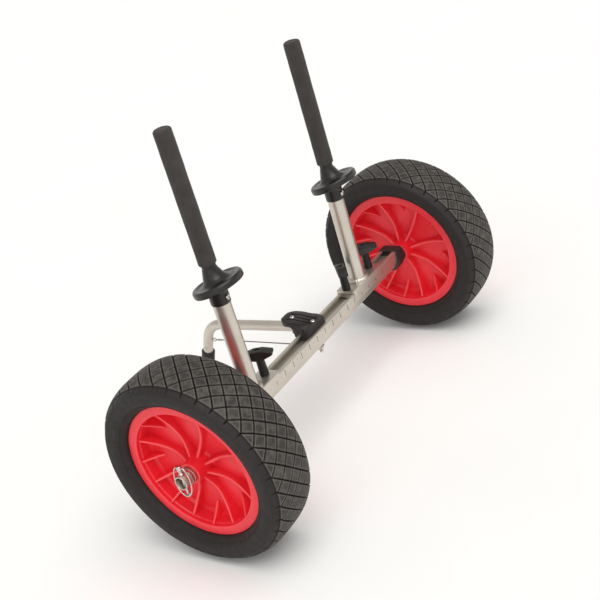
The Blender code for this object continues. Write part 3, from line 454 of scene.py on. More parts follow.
def extrude(name, outline, place, depth, smooth=35.0):
    bm = bmesh.new()
    face = bm.faces.new([bm.verts.new((u, v, 0.0)) for u, v in outline])
    grown = bmesh.ops.extrude_face_region(bm, geom=[face])
    moved = [part for part in grown["geom"] if isinstance(part, bmesh.types.BMVert)]
    bmesh.ops.translate(bm, verts=moved, vec=(0.0, 0.0, depth))
    return new_object(name, bm, smooth, place)


def along_x(start):
    """Maps an outline in (y, z) to the plane x = start, extruded towards +X."""
    return Matrix(((0, 0, 1, start), (1, 0, 0, 0), (0, 1, 0, 0), (0, 0, 0, 1)))


def upwards(start):
    return Matrix.Translation((0.0, 0.0, start))


def block(name, low, high):
    outline = [(low[0], low[1]), (high[0], low[1]), (high[0], high[1]), (low[0], high[1])]
    return extrude(name, outline, upwards(low[2]), high[2] - low[2])


def apply_modifiers(obj, smooth=35.0):
    graph = bpy.context.evaluated_depsgraph_get()
    made = bpy.data.meshes.new_from_object(obj.evaluated_get(graph))
    obj.modifiers.clear()
    obj.data = made
    bm = bmesh.new()
    bm.from_mesh(made)
    bmesh.ops.remove_doubles(bm, verts=bm.verts, dist=0.001)
    bmesh.ops.dissolve_degenerate(bm, dist=0.001, edges=bm.edges)
    bm.to_mesh(made)
    bm.free()
    shade(made, smooth)
    return obj


def combine(obj, operation, tools):
    for tool in tools:
        step = obj.modifiers.new("join", "BOOLEAN")
        step.operation = operation
        step.solver = "EXACT"
        step.object = tool
        apply_modifiers(obj)
        bpy.data.objects.remove(tool, do_unlink=True)
    return obj


def cut(obj, *tools):
    return combine(obj, "DIFFERENCE", tools)


def join(obj, *tools):
    return combine(obj, "UNION", tools)


def bevelled(obj, width, segments=3, angle=40.0, smooth=35.0):
    step = obj.modifiers.new("bevel", "BEVEL")
    step.width = width
    step.segments = segments
    step.limit_method = "ANGLE"
    step.angle_limit = math.radians(angle)
    return apply_modifiers(obj, smooth)


def moved(obj, place):
    obj.data.transform(place)
    return obj


def face_left(obj, side):
    """Turns a right-hand piece half round the upright axis if it is for the left side."""
    return moved(obj, Matrix.Rotation(math.pi, 4, "Z")) if side == "left" else obj


def sweep(name, path, radius, steps=16, closed=False, up=(1, 0, 0), bore=None, smooth=35.0):
    """A round bar, or a tube when it has a bore. radius may be a function of (index, angle)."""
    up = Vector(up)
    count = len(path)
    size = radius if callable(radius) else lambda index, angle: radius
    bm = bmesh.new()

    def rings(width):
        made = []
        for i, point in enumerate(path):
            before = path[i - 1] if closed or i > 0 else point
            after = path[(i + 1) % count] if closed or i < count - 1 else point
            side = (after - before).cross(up).normalized()
            top = side.cross(after - before).normalized()
            ring = []
            for k in range(steps):
                angle = 2 * math.pi * k / steps
                way = math.cos(angle) * top + math.sin(angle) * side
                ring.append(bm.verts.new(point + way * width(i, angle)))
            made.append(ring)
        return made

    outer = rings(size)
    if closed:
        skin(bm, outer + outer[:1])
    elif bore is None:
        skin(bm, outer)
        bm.faces.new(outer[0])
        bm.faces.new(outer[-1])
    else:
        inner = rings(lambda index, angle: bore)
        skin(bm, outer + inner[::-1] + outer[:1])
    return new_object(name, bm, smooth)


def settle(obj, body, slot, material, *nodes):
    """Scales a piece to metres, moves it to the frame's axle and hands it over."""
    obj.data.transform(Matrix.Translation(AXLE) @ Matrix.Scale(MM, 4))
    obj.data.materials.clear()
    obj.data.materials.append(MATERIALS[material])
    if nodes:
        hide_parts(*nodes)
    if body is not None:
        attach(obj, body)
    return obj


# ---------------------------------------------------------------- tyres

TYRE_RADIUS = 160.5
TYRE_HALF_WIDTH = 50.6
CROWN_DROP = 15.6
CROWN_POWERS = (3.23, 0.694)
DIAMONDS = 38                   # lozenges round the tread
HALF_CELL = 8                   # mesh columns in half a lozenge
CROSSING = 13.3                 # from groove crossing to groove crossing, across the tread
HALF_CROSSINGS = 3              # crossings from the middle to the tread's edge
GROOVE_DEPTH = 2.9
EDGE_STEP = 1.8                 # the tread stands over the sidewall
NOTCH_LENGTH = 8.0
NOTCH_DEPTH = 2.2
APEX_DEGREES = {"left": 44.7, "right": 45.5}


def crown_radius(x):
    share = min(abs(x) / TYRE_HALF_WIDTH, 1.0)
    return TYRE_RADIUS - CROWN_DROP * (1 - (1 - share ** CROWN_POWERS[0]) ** CROWN_POWERS[1])


def through(points, steps):
    """A smooth line through points, as Catmull-Rom spans."""
    ends = [points[0]] + list(points) + [points[-1]]
    made = []
    for a, b, c, d in zip(ends, ends[1:], ends[2:], ends[3:]):
        a, b, c, d = (Vector(p) for p in (a, b, c, d))
        for i in range(steps):
            t = i / steps
            made.append(tuple(0.5 * (2 * b + (c - a) * t + (2 * a - 5 * b + 4 * c - d) * t ** 2
                                     + (3 * b - a - 3 * c + d) * t ** 3)))
    return made + [tuple(points[-1])]


def sidewall():
    """(radius, offset) from under the tread's edge round to the rim's seat."""
    edge = CROSSING * HALF_CROSSINGS
    shoulder = []
    for i in range(8):
        x = edge + 0.6 + (TYRE_HALF_WIDTH - edge - 0.6) * math.sin(i / 8 * math.pi / 2)
        shoulder.append((crown_radius(x) - EDGE_STEP * (1 - i / 8), x))
    wall = through([(crown_radius(TYRE_HALF_WIDTH), TYRE_HALF_WIDTH), (138.5, 50.7), (132.0, 50.2),
                    (126.0, 47.7), (120.6, 43.4), (117.0, 39.3)], 4)
    ring = [(124.9, 46.9), (124.3, 47.3), (123.3, 46.6), (122.9, 45.4)]
    wall = [p for p in wall if p[0] > 125.3] + ring + [p for p in wall if p[0] < 122.4]
    seat = [(115.9, 36.5), (115.9, 30.2), (104.8, 26.6)]
    return shoulder + wall + seat


def make_tyre(side):
    columns = DIAMONDS * 2 * HALF_CELL
    reach = HALF_CROSSINGS * HALF_CELL
    rows = []                   # radius, offset, groove index or None, notch share, relief and painted shade level
    for j in range(-reach, reach + 1):
        x = j * CROSSING / HALF_CELL
        rows.append((crown_radius(x), x, j, 0.0, 1.0))
    wall = sidewall()
    flank = []
    travelled = 0.0
    for i, (radius, x) in enumerate(wall):
        if i:
            travelled += math.dist(wall[i - 1], wall[i])
        # relief and painted shade: 0.1 on the first row under the tread's edge paints its shadow line, 0.45
        # on the rest of the sidewall
        flank.append((radius, x, None, max(0.0, 1 - travelled / NOTCH_LENGTH) ** 0.5, 0.45 if i else 0.1))
    rows += flank
    rows += [(radius, -x, groove, notch, relief_and_painted_shade) for radius, x, groove, notch, relief_and_painted_shade in flank[::-1]]

    column = np.arange(columns)
    start = math.radians(APEX_DEGREES[side]) - HALF_CELL * 2 * math.pi / columns
    angle = start + column * 2 * math.pi / columns
    apex = column % (2 * HALF_CELL) == HALF_CELL
    points, relief_and_painted_shade, low = [], [], []
    for radius, x, groove, notch, level in rows:
        if groove is not None:
            cell = 2 * HALF_CELL
            sunk = ((column + groove) % cell == 0) | ((column - groove) % cell == 0)
            depth = GROOVE_DEPTH * sunk
        else:
            sunk = apex & (notch > 0)
            depth = NOTCH_DEPTH * notch * sunk
        # groove floors and notch apexes get 0, painted shade in the hollows
        relief_and_painted_shade.append(np.where(sunk, 0.0, level))
        low.append(sunk)
        size = radius - depth
        points.append(np.stack([np.full(columns, x), -np.cos(angle) * size, np.sin(angle) * size], axis=1))
    points = np.concatenate(points)
    relief_and_painted_shade = np.concatenate(relief_and_painted_shade)

    faces = []
    count = len(rows)
    for r in range(count):
        s = (r + 1) % count
        for c in range(columns):
            d = (c + 1) % columns
            a, b = r * columns + c, r * columns + d
            e, f = s * columns + c, s * columns + d
            if low[r][c] + low[r][d] + low[s][c] + low[s][d] == 0 or rows[r][2] is None:
                faces.append((a, b, f, e))
            elif (low[r][c] and low[s][d]) or not (low[r][d] or low[s][c] or low[r][c] != low[s][d]):
                faces += [(a, b, f), (a, f, e)]
            elif low[r][d] and low[s][c]:
                faces += [(a, b, e), (b, f, e)]
            elif low[r][c] or low[s][d]:
                faces += [(a, b, e), (b, f, e)]
            else:
                faces += [(a, b, f), (a, f, e)]
    mesh = bpy.data.meshes.new(side + "_tyre_tread")
    mesh.from_pydata(points.tolist(), [], faces)
    mesh.attributes.new("relief_and_painted_shade", "FLOAT", "POINT").data.foreach_set("value", relief_and_painted_shade.astype(np.float32))
    bm = bmesh.new()
    bm.from_mesh(mesh)
    bmesh.ops.recalc_face_normals(bm, faces=bm.faces)
    bmesh.ops.translate(bm, verts=bm.verts, vec=(SIDES[side] * WHEEL_X, 0.0, 0.0))
    bm.to_mesh(mesh)
    bm.free()
    shade(mesh, 38.0)
    obj = bpy.data.objects.new(side + "_tyre_tread", mesh)
    bpy.context.scene.collection.objects.link(obj)
    settle(obj, side + "_wheel", "tyre_rubber", "rubber", side + "_tyre")


# ---------------------------------------------------------------- rims

RIB_COUNT = 8
RIB_DEGREES = {"left": 22.0, "right": 12.3}
HUB_RADIUS = 17.3
HUB_HALF_LENGTH = 39.4
WEB_HALF = 5.8
BARREL_RADIUS = 100.6
FLANGE_RADIUS = 115.6
FLANGE_X = 34.7


def rim_profile():
    half = [(HUB_RADIUS, HUB_HALF_LENGTH), (HUB_RADIUS + 1.6, WEB_HALF), (95.2, WEB_HALF), (98.3, 10.5),
            (99.2, 26.0), (BARREL_RADIUS, 28.2), (BARREL_RADIUS, FLANGE_X), (FLANGE_RADIUS, FLANGE_X),
            (FLANGE_RADIUS, 30.6), (104.5, 27.0)]
    radii = [1.2, 5.0, 4.0, 5.0, 1.0, 1.0, 1.4, 1.6, 1.0, 1.0]
    bore = 12.7
    outline = [(bore, HUB_HALF_LENGTH)] + half + [(r, -x) for r, x in half[::-1]] + [(bore, -HUB_HALF_LENGTH)]
    return rounded(outline, [0.8] + radii + radii[::-1] + [0.8], 4)


def rib_front(start, first, dip, last):
    """The rib's front edge in (radius, offset): from the hub, down to the dip, up to the rim."""
    return through([(start, first), dip, (74.0, (dip[1] + last) / 2 - 2.4), (98.5, last)], 6)


def make_rib(outline, thickness):
    """A tapered plate from an outline in (radius, offset), standing along +Z."""
    bm = bmesh.new()
    root = WEB_HALF - 1.5
    top = max(x for _, x in outline)
    plates = []
    for sign in (-1, 1):
        plate = []
        for r, x in outline:
            half = thickness / 2 * (1.16 - 0.32 * (x - root) / (top - root))
            plate.append(bm.verts.new((x, sign * half, r)))
        plates.append(plate)
    bm.faces.new(plates[0])
    bm.faces.new(plates[1][::-1])
    skin(bm, plates)
    return bevelled(new_object("rib", bm), 0.7, 2, 50.0)


def make_rim(side):
    root = WEB_HALF - 1.5
    outer = BARREL_RADIUS + 1.0
    long_rib = [(HUB_RADIUS - 1, root)] + rib_front(HUB_RADIUS - 1, 23.6, (46.0, 15.0), 28.9)
    long_rib += [(outer, 29.4), (outer, root)]
    short_rib = [(72.0, root), (74.0, 7.7), (81.0, 13.0), (90.0, 21.8), (98.5, 31.2), (outer, 31.6),
                 (outer, root)]
    rim = lathe(side + "_rim_dish", rim_profile(), axis=(1, 0, 0), steps=144)
    ribs = []
    for outline, share, thickness in ((long_rib, 0.0, 4.0), (short_rib, 0.5, 3.6)):
        pattern = make_rib(outline, thickness)
        for k in range(RIB_COUNT):
            degrees = RIB_DEGREES[side] - 90.0 + 360.0 * (k + share) / RIB_COUNT
            for flip in (0.0, math.pi):
                rib = bpy.data.objects.new("rib", pattern.data.copy())
                bpy.context.scene.collection.objects.link(rib)
                turn = Matrix.Rotation(-math.radians(degrees), 4, "X") @ Matrix.Rotation(flip, 4, "Z")
                ribs.append(moved(rib, turn))
        bpy.data.objects.remove(pattern, do_unlink=True)
    join(rim, join_all(ribs))
    apply_modifiers(rim, 32.0)
    moved(rim, Matrix.Translation((SIDES[side] * WHEEL_X, 0, 0)))
    settle(rim, side + "_wheel", "red_plastic", "red", side + "_rim")


def join_all(objects):
    """One object holding the meshes of several that don't touch."""
    bm = bmesh.new()
    for obj in objects:
        bm.from_mesh(obj.data)
        bpy.data.objects.remove(obj, do_unlink=True)
    return new_object("joined", bm)


def make_bush(side):
    inner = WHEEL_X - HUB_HALF_LENGTH + 0.15
    end = 381.8
    outer, groove = 12.4, 12.1
    ring = [(RUNNING_BORE, inner), (outer, inner), (outer, end - 6.0), (groove, end - 5.6),
            (groove, end - 4.6), (outer, end - 4.2), (outer, end), (RUNNING_BORE, end)]
    ring = rounded(ring, [0.1, 0.2, 0, 0, 0, 0, 0.45, 0.2], 2)
    bush = lathe(side + "_bush", ring, axis=(1, 0, 0), steps=64)
    settle(face_left(bush, side), side + "_wheel", "plated_steel", "steel", side + "_hub_bush")


def make_spacer(side):
    low, high = (c.x for c in corners("right_hub_spacer"))
    radius = 15.0
    ring = [(RUNNING_BORE, low), (radius, low), (radius, high), (RUNNING_BORE, high)]
    ring = rounded(ring, [0.4, 1.0, 1.0, 0.4], 3)
    spacer = lathe(side + "_spacer", ring, axis=(1, 0, 0), steps=64)
    settle(face_left(spacer, side), "chassis", "black_nylon", "nylon", side + "_hub_spacer")


# ---------------------------------------------------------------- axle and lock pins

def make_axle():
    ring = [(9.5, -AXLE_END), (11.1, -AXLE_END), (11.1, AXLE_END), (9.5, AXLE_END)]
    axle = lathe("axle", rounded(ring, [0.5, 0.7, 0.7, 0.5], 3), axis=(1, 0, 0), steps=72)
    cut(axle, rod("hole", (-PIN_X, 0, 0), UPRIGHT, 2.8, -20, 20, 32),
        rod("hole", (PIN_X, 0, 0), UPRIGHT, 2.8, -20, 20, 32),
        rod("hole", (STAND_X, 0, 0), UPRIGHT, BOLT_HOLE, -20, 20, 32))
    settle(axle, "chassis", "satin_aluminium", "aluminium_x", "axle_tube")


def make_lock_pin(side):
    low, high = (c.z for c in corners("right_lock_pin"))
    profile = [(0, low), (1.7, low), (2.5, low + 1.6), (2.5, 11.4), (4.2, 11.4), (4.2, 13.0), (3.0, 14.2),
               (3.0, 18.0), (4.0, 19.2), (4.0, high), (0, high)]
    radii = [0, 0.8, 0.6, 0.2, 0.4, 0.4, 0.5, 0.5, 0.6, 1.6, 0]
    pin = lathe(side + "_pin", rounded(profile, radii, 3), (PIN_X, 0, 0), UPRIGHT, 48)
    eye_z = 22.6
    cut(pin, rod("eye", (PIN_X, 0, eye_z), (0, 1, 0), 1.5, -6, 6, 24))
    settle(face_left(pin, side), side + "_lock_pin", "plated_steel", "steel", side + "_lock_pin")

    straight, half_width, bottom, lean = 5.0, 14.5, -24.5, 4.0
    centre = (eye_z + bottom) / 2
    tall = eye_z - centre
    half = [(0.0, eye_z), (2.5, eye_z)]
    for a in np.radians(np.arange(90, -1, -6)):
        half.append((straight + (half_width - straight) * math.cos(a), centre + tall * math.sin(a)))
    for a in np.radians(np.arange(-6, -90, -6)):
        half.append((half_width * math.cos(a), centre + tall * math.sin(a)))
    loop = half + [(0.0, bottom)] + [(-y, z) for y, z in half[::-1] if y > 0]
    path = [Vector((PIN_X + lean * (eye_z - z) / (eye_z - bottom), y, z)) for y, z in loop]
    bail = sweep(side + "_bail_wire", path, 1.2, 14, closed=True)
    settle(face_left(bail, side), side + "_bail", "plated_steel", "steel", side + "_pin_bail")


# ---------------------------------------------------------------- rail and end caps

RAIL_HALF_WIDTH = 17.3
RAIL_TOP = 23.1
BELLY = 12.7
RAIL_END = 272.0
INCH = 25.4
TICK_FOOT = 14.0                # the scale's marks stand on this height
DIGIT_FOOT = 9.9


def mirrored(half):
    """Closes a half outline, given from the bottom to the top at y >= 0, about y = 0."""
    return half + [(-y, z) for y, z in half[::-1] if y > 1e-9]


def belly_arc(half_width, side_bottom, radius):
    """The round belly from its lowest point to where the straight flank touches it."""
    reach = math.hypot(half_width, side_bottom)
    touch = math.degrees(math.atan2(side_bottom, half_width) - math.acos(radius / reach))
    return arc((0, 0), radius, -90, touch, 12)


def rail_outline(grow=0.0):
    wide, top, slot = RAIL_HALF_WIDTH + grow, RAIL_TOP + grow, 9.6 - grow
    channel, floor, lip = 14.5 - grow, 13.9 + grow, 19.8 - grow
    half = belly_arc(wide, 5.8, BELLY + grow)
    half += arc((wide - 1.2, 7.0), 1.2, -20, 0, 2)
    half += arc((wide - 3.0, top - 3.0), 3.0, 0, 90, 6)
    half += arc((slot + 1.4, top - 1.4), 1.4, 90, 180, 5)
    half += arc((slot + 0.4, lip + 0.4), 0.4, 180, 270, 2)
    half += [(channel, lip)]
    half += arc((channel - 0.25, floor + 0.25), 0.25, 0, -90, 3)
    return mirrored(half)


def make_rail():
    rail = extrude("rail_section", rail_outline(), along_x(-RAIL_END), 2 * RAIL_END)
    cut(rail, rod("bore", (0, 0, 0), (1, 0, 0), RUNNING_BORE, -RAIL_END - 5, RAIL_END + 5, 64),
        rod("hole", (STAND_X, 0, 0), UPRIGHT, BOLT_HOLE, -20, 20, 32))
    settle(rail, "chassis", "satin_aluminium", "aluminium_x", "rail")


def make_scale():
    """Inch marks printed on the rail's front face, with plain running numbers."""
    face = -RAIL_HALF_WIDTH
    thick = 0.06
    first, last = -6, 8
    parts = []
    for k in range(2 * first, 2 * last + 1):
        x = k * INCH / 2
        tall = 6.0 if k % 2 == 0 else 1.6
        width = 1.2 if k % 2 == 0 else 0.3
        low = (x - width / 2, face - thick, TICK_FOOT)
        high = (x + width / 2, face + thick, TICK_FOOT + tall)
        parts.append(block("tick", low, high))
    for k in range(first, last + 1):
        text = bpy.data.curves.new("number", "FONT")
        text.body = str(k - first + 1)
        text.size = 4.8
        text.extrude = thick
        text.offset = 0.12
        text.align_x = "CENTER"
        holder = bpy.data.objects.new("number", text)
        bpy.context.scene.collection.objects.link(holder)
        graph = bpy.context.evaluated_depsgraph_get()
        mesh = bpy.data.meshes.new_from_object(holder.evaluated_get(graph))
        bpy.data.objects.remove(holder, do_unlink=True)
        digit = bpy.data.objects.new("number", mesh)
        bpy.context.scene.collection.objects.link(digit)
        place = Matrix.Translation((k * INCH - 0.4, face, DIGIT_FOOT)) @ Matrix.Rotation(math.pi / 2, 4, "X")
        parts.append(moved(digit, place))
    settle(join_all(parts), "chassis", "satin_aluminium", "ink").name = "rail_scale"


def make_end_cap(side):
    wide, top = 21.2, 24.5
    mouth, outer = (c.x for c in corners("right_end_cap"))
    half = belly_arc(wide, 2.4, 17.6)
    half += rounded([(wide, 2.4), (wide, top - 5.5), (wide - 4.2, top)], [0, 0, 0])
    outline = rounded(mirrored(half), 1.0, 2)
    cap = bevelled(extrude(side + "_rail_cap", outline, along_x(mouth), outer - mouth), 1.3, 3, 60.0)
    cut(cap, extrude("pocket", rail_outline(0.3), along_x(mouth - 1), RAIL_END + 1.3 - mouth),
        rod("bore", (0, 0, 0), (1, 0, 0), RUNNING_BORE, mouth - 1, outer + 1, 64))
    settle(face_left(cap, side), "chassis", "black_nylon", "nylon", side + "_end_cap")


# ---------------------------------------------------------------- saddles and posts

SADDLE_TOP = 28.6
POST_RADIUS = 14.2
WELD = 5.0
DISC_CENTRE = Vector((0, -6.0, 216.5))      # from its post
DISC_TILT = math.radians(-14.5)             # the disc's front stands higher than its back


def make_saddle(side):
    """Folded plate over the rail, with rounded ends and the two stud holes."""
    post_x = POST_X[side]
    low, high = (c.x for c in corners(side + "_saddle"))
    wide, inside, under = 19.9, 17.6, RAIL_TOP + 0.3
    bottom = 17.3
    outline = [(-wide, bottom), (-inside, bottom), (-inside, under), (inside, under), (inside, bottom),
               (wide, bottom), (wide, SADDLE_TOP), (-wide, SADDLE_TOP)]
    plate = extrude(side + "_saddle_plate", rounded(outline, [0.5, 0.5, 0.6, 0.6, 0.5, 0.5, 2.6, 2.6], 4),
                    along_x(low), high - low)
    plan = rounded([(low, -wide - 1), (high, -wide - 1), (high, wide + 1), (low, wide + 1)], 7.0, 8)
    combine(plate, "INTERSECT", [extrude("plan", plan, upwards(0), 60)])
    bevelled(plate, 0.5, 2, 50.0)
    for sign in (-1, 1):
        cut(plate, rod("hole", (post_x + sign * 39.9, 0, 0), UPRIGHT, STUD_HOLE, 10, 40, 32))
    settle(plate, side + "_saddle", "satin_aluminium", "aluminium_x", side + "_saddle")


def weld_shape(radius, height, angle):
    """Ripples round the weld bead at the foot of the post."""
    base = SADDLE_TOP + 0.3
    if radius < POST_RADIUS + 0.3 or height > base + WELD + 2.5:
        return radius, height
    ripple = 0.5 * abs(math.sin(13 * angle)) + 0.25 * math.sin(3 * angle + 0.7)
    return radius + ripple * 0.8, height + (0.35 * ripple if height > base + 0.1 else 0.0)


def make_post(side):
    low, high = corners(side + "_post_tube")
    base = low.z
    bead = arc((POST_RADIUS - 0.3, base), WELD + 0.5, 0, 86, 8)
    profile = [(12.2, base)] + bead + [(POST_RADIUS, base + WELD + 1.4), (POST_RADIUS, high.z - 0.6),
                                       (POST_RADIUS - 0.6, high.z), (12.2, high.z)]
    post = lathe(side + "_post", profile, (POST_X[side], 0, 0), UPRIGHT, 156, weld_shape)
    screw_at = (POST_X[side], 0, middle(side + "_flange_screw").z)
    cut(post, rod("hole", screw_at, (0, -1, 0), COLLAR_HOLE, 5, 25, 24))
    settle(post, side + "_saddle", "satin_aluminium", "aluminium_z", side + "_post_tube")


def lean_back(obj, full, none):
    """Tilts a part about the disc's middle: wholly below one height, not at all above another."""
    tilt = Matrix.Rotation(DISC_TILT, 3, "X")
    for vertex in obj.data.vertices:
        share = min(max((none - vertex.co.z) / (none - full), 0.0), 1.0)
        share = share * share * (3 - 2 * share)
        tilted = DISC_CENTRE + tilt @ (vertex.co - Vector((0, 0, DISC_CENTRE.z)))
        vertex.co = vertex.co.lerp(tilted, share)


def make_flange(side):
    """Collar under a support disc that leans back and sweeps up into a cone and neck."""
    bottom, top = (c.z for c in corners(side + "_flange"))
    collar = [(0, bottom), (15.7, bottom), (15.7, 203.5), (19.5, 210.0), (19.5, 216.0), (0, 216.0)]
    flange = lathe(side + "_support_flange", rounded(collar, [0, 1.2, 6, 2, 0, 0], 5), steps=96)
    disc = [(0, 211.0), (36, 210.6), (40.2, 211.0), (41.2, 212.6), (41.2, 219.0), (39.7, 221.5),
            (38.0, 222.1), (35.4, 222.1), (30.0, 220.7), (23.2, 221.5), (17.5, 227.2), (11.2, 243.5),
            (11.0, top), (0, top)]
    disc = rounded(disc, [0, 3, 1.5, 1.5, 2.5, 1.5, 2, 3, 6, 6, 14, 3, 0.8, 0], 6)
    trumpet = lathe("disc", disc, steps=128)
    lean_back(trumpet, 222.5, 242.0)
    join(flange, trumpet)
    screw_z = middle(side + "_flange_screw").z
    cut(flange, rod("socket", (0, 0, 0), UPRIGHT, 14.5, bottom - 5, 208.3, 72),
        rod("core_hole", (0, 0, 0), UPRIGHT, 9.0, 203, top + 5, 64),
        rod("hole", (0, 0, screw_z), (0, -1, 0), COLLAR_HOLE, 5, 25, 24))
    apply_modifiers(flange, 50.0)
    moved(flange, Matrix.Translation((POST_X[side], 0, 0)))
    settle(flange, side + "_saddle", "gloss_black", "gloss", side + "_flange")


def make_foam(side):
    low, high = corners(side + "_foam_sleeve")
    bottom, top = low.z, high.z
    radius, bore, bore_top = 14.0, 9.0, 452.0
    outer = [(radius - 0.9, bottom), (radius, bottom + 1.2)]
    edge = 4.5
    outer += [(radius, bottom + (top - edge - bottom) * i / 60) for i in range(1, 60)]
    outer += arc((radius - edge, top - edge), edge, 0, 90, 12)
    profile = [(bore, bottom)] + outer + [(3.0, top - 0.4), (0, top - 0.5), (0, bore_top), (bore, bore_top)]

    def soft(r, h, angle):
        """Slight waviness of the foam's skin."""
        if r < bore + 2 or h < bottom + 0.5:
            return r, h
        wave = math.sin(h * 0.083 + 2 * angle) + 0.6 * math.sin(h * 0.19 - 3 * angle + 1.0)
        return r + 0.09 * wave - 0.05, h

    sleeve = lathe(side + "_foam_grip", profile, (POST_X[side], 0, 0), UPRIGHT, 72, soft)
    settle(sleeve, side + "_saddle", "black_foam", "foam", side + "_foam_sleeve")


# ---------------------------------------------------------------- screws, nuts and knobs

def pan_screw(name, centre, axis, head_low, tip, head_radius=4.6, shank=3.0):
    """Pan-head machine screw with a cross recess and a threaded shank."""
    top = head_low + 3.0
    thread = []
    turns = int((head_low - tip - 1.5) / 1.0)
    for k in range(turns):
        z = tip + 1.2 + k
        thread += [(shank - 0.45, z), (shank, z + 0.5)]
    profile = [(0, tip), (shank - 0.9, tip)] + thread + [(shank, head_low)]
    profile += rounded([(shank, head_low), (head_radius, head_low), (head_radius, head_low + 1.2),
                        (head_radius * 0.72, top - 0.3), (0, top)], [0, 0.25, 0.6, 1.2, 0], 3)[1:]
    screw = lathe(name, profile, steps=40)
    arm, width, depth = 2.5, 0.55, 1.5
    cut(screw, block("slot", (-arm, -width, top - depth), (arm, width, top + 2)),
        block("slot", (-width, -arm, top - depth), (width, arm, top + 2)))
    turn = Vector(axis).to_track_quat("Z", "Y").to_matrix().to_4x4()
    return moved(screw, Matrix.Translation(centre) @ turn @ Matrix.Rotation(0.4, 4, "Z"))


def hex_nut(name, centre, top):
    """Hexagon nut with chamfered corners and a washer face, hanging below top."""
    washer, height, corner, bore = 1.4, 6.0, 5.8, 3.3
    nut = extrude(name, arc((0, 0), corner, 0, 300, 5), upwards(top - height), height - washer / 2)
    dome = [(0, top - height), (4.9, top - height), (6.2, top - height + 1.2), (6.2, top), (0, top)]
    combine(nut, "INTERSECT", [lathe("dome", dome, steps=48)])
    join(nut, rod("washer", (0, 0, 0), UPRIGHT, 7.5, top - washer, top, 48, 0.3))
    cut(nut, rod("bore", (0, 0, 0), UPRIGHT, bore, top - 2 * height, top + height, 32))
    return moved(nut, Matrix.Translation(centre))


def make_fasteners():
    for side in SIDES:
        node = side + "_flange_screw"
        place = (POST_X[side], 0, middle(node).z)
        settle(pan_screw(side + "_collar_screw", place, (0, -1, 0), 16.0, 10.8, 4.5, 2.1),
               side + "_saddle", "plated_steel", "steel", node)
    for name, y in (("stand_clamp", 0.0), ("stand_pivot", PIVOT_Y)):
        bolt = name + ("_screw" if name == "stand_clamp" else "_bolt")
        low, high = corners(bolt)
        settle(pan_screw(name + "_pan_screw", (STAND_X, y, 0), UPRIGHT, high.z - 3.0, low.z),
               "chassis", "plated_steel", "steel", bolt)
        settle(hex_nut(name + "_hex_nut", (STAND_X, y, 0), corners(name + "_nut")[1].z),
               "chassis", "plated_steel", "steel", name + "_nut")


def make_knob(name):
    """T-handle: round stem, deep-backed bar with soft edges and a shallow oval recess."""
    knob_x = middle(name + "_stud").x
    base = corners(name + "_knob")[0].z
    stem = [(0, base), (7.3, base), (7.6, base + 3.0), (6.5, 62.0), (0, 62.0)]
    knob = lathe(name + "_handle", rounded(stem, [0, 1.0, 1.5, 0, 0], 4), steps=64)
    half = [(6.4, 58.0), (22.2, 63.6), (24.0, 65.0), (24.0, 69.2), (8.0, 74.3)]
    outline = rounded(half + [(-u, v) for u, v in half[::-1]], [4, 1, 1, 1.2, 4, 4, 1.2, 1, 1, 4], 5)
    across = Matrix(((1, 0, 0, 0), (0, 0, -1, 8.2), (0, 1, 0, 0), (0, 0, 0, 1)))
    bar = bevelled(extrude("bar", outline, across, 16.4), 1.4, 3, 60.0)
    join(knob, bar)
    recess = moved(rod("recess", (0, 0, 0), UPRIGHT, 1.0, 73.0, 80.0, 48), Matrix.Diagonal((4.6, 2.9, 1, 1)))
    cut(knob, recess, rod("bore", (0, 0, 0), UPRIGHT, STUD_HOLE, 20, 45.3, 32))
    bevelled(knob, 0.5, 2, 50.0)
    moved(knob, Matrix.Translation((knob_x, 0, 0)) @ Matrix.Rotation(math.radians(KNOB_TURN[name]), 4, "Z"))
    settle(knob, name + "_knob", "black_nylon", "nylon", name + "_knob")
    low, high = corners(name + "_stud")
    ridges = []
    for k in range(int(high.z - low.z) - 2):
        ridges += [(3.4, low.z + 1.2 + k), (3.9, low.z + 1.7 + k)]
    stud = lathe(name + "_threaded_stud", [(0, low.z), (3.0, low.z)] + ridges + [(3.2, high.z), (0, high.z)],
                 (knob_x, 0, 0), steps=32)
    settle(stud, name + "_knob", "plated_steel", "steel", name + "_stud")
    NODES[name + "_tnut"].data.materials.clear()
    NODES[name + "_tnut"].data.materials.append(MATERIALS["steel"])


# ---------------------------------------------------------------- kickstand

DROOP = 0.036
STAND_TUBE_START = 30.0
BEND_RADIUS = 45.0
BEND_CORNER = Vector((0.0, 231.2, 15.6))
LEG_ANGLE = math.radians(21.7)
LEG_TUBE_END = -146.0
LEG_WAY = Vector((0.0, math.sin(LEG_ANGLE), -math.cos(LEG_ANGLE)))


def leg_point(z):
    return Vector((STAND_X, BEND_CORNER.y, BEND_CORNER.z)) + LEG_WAY * ((z - BEND_CORNER.z) / LEG_WAY.z)


def stand_path():
    outwards = Vector((0.0, 1.0, -DROOP)).normalized()
    corner = Vector((STAND_X, BEND_CORNER.y, BEND_CORNER.z))
    turn = outwards.angle(LEG_WAY)
    bend_start = corner - outwards * (BEND_RADIUS * math.tan(turn / 2))
    inward = (LEG_WAY - outwards * outwards.dot(LEG_WAY)).normalized()
    centre = bend_start + inward * BEND_RADIUS
    path = [Vector((STAND_X, STAND_TUBE_START, corner.z + DROOP * (corner.y - STAND_TUBE_START)))]
    steps = 24
    for i in range(steps + 1):
        angle = turn * i / steps
        across, along = BEND_RADIUS * math.cos(angle), BEND_RADIUS * math.sin(angle)
        path.append(centre - inward * across + outwards * along)
    path.append(leg_point(LEG_TUBE_END))
    return path


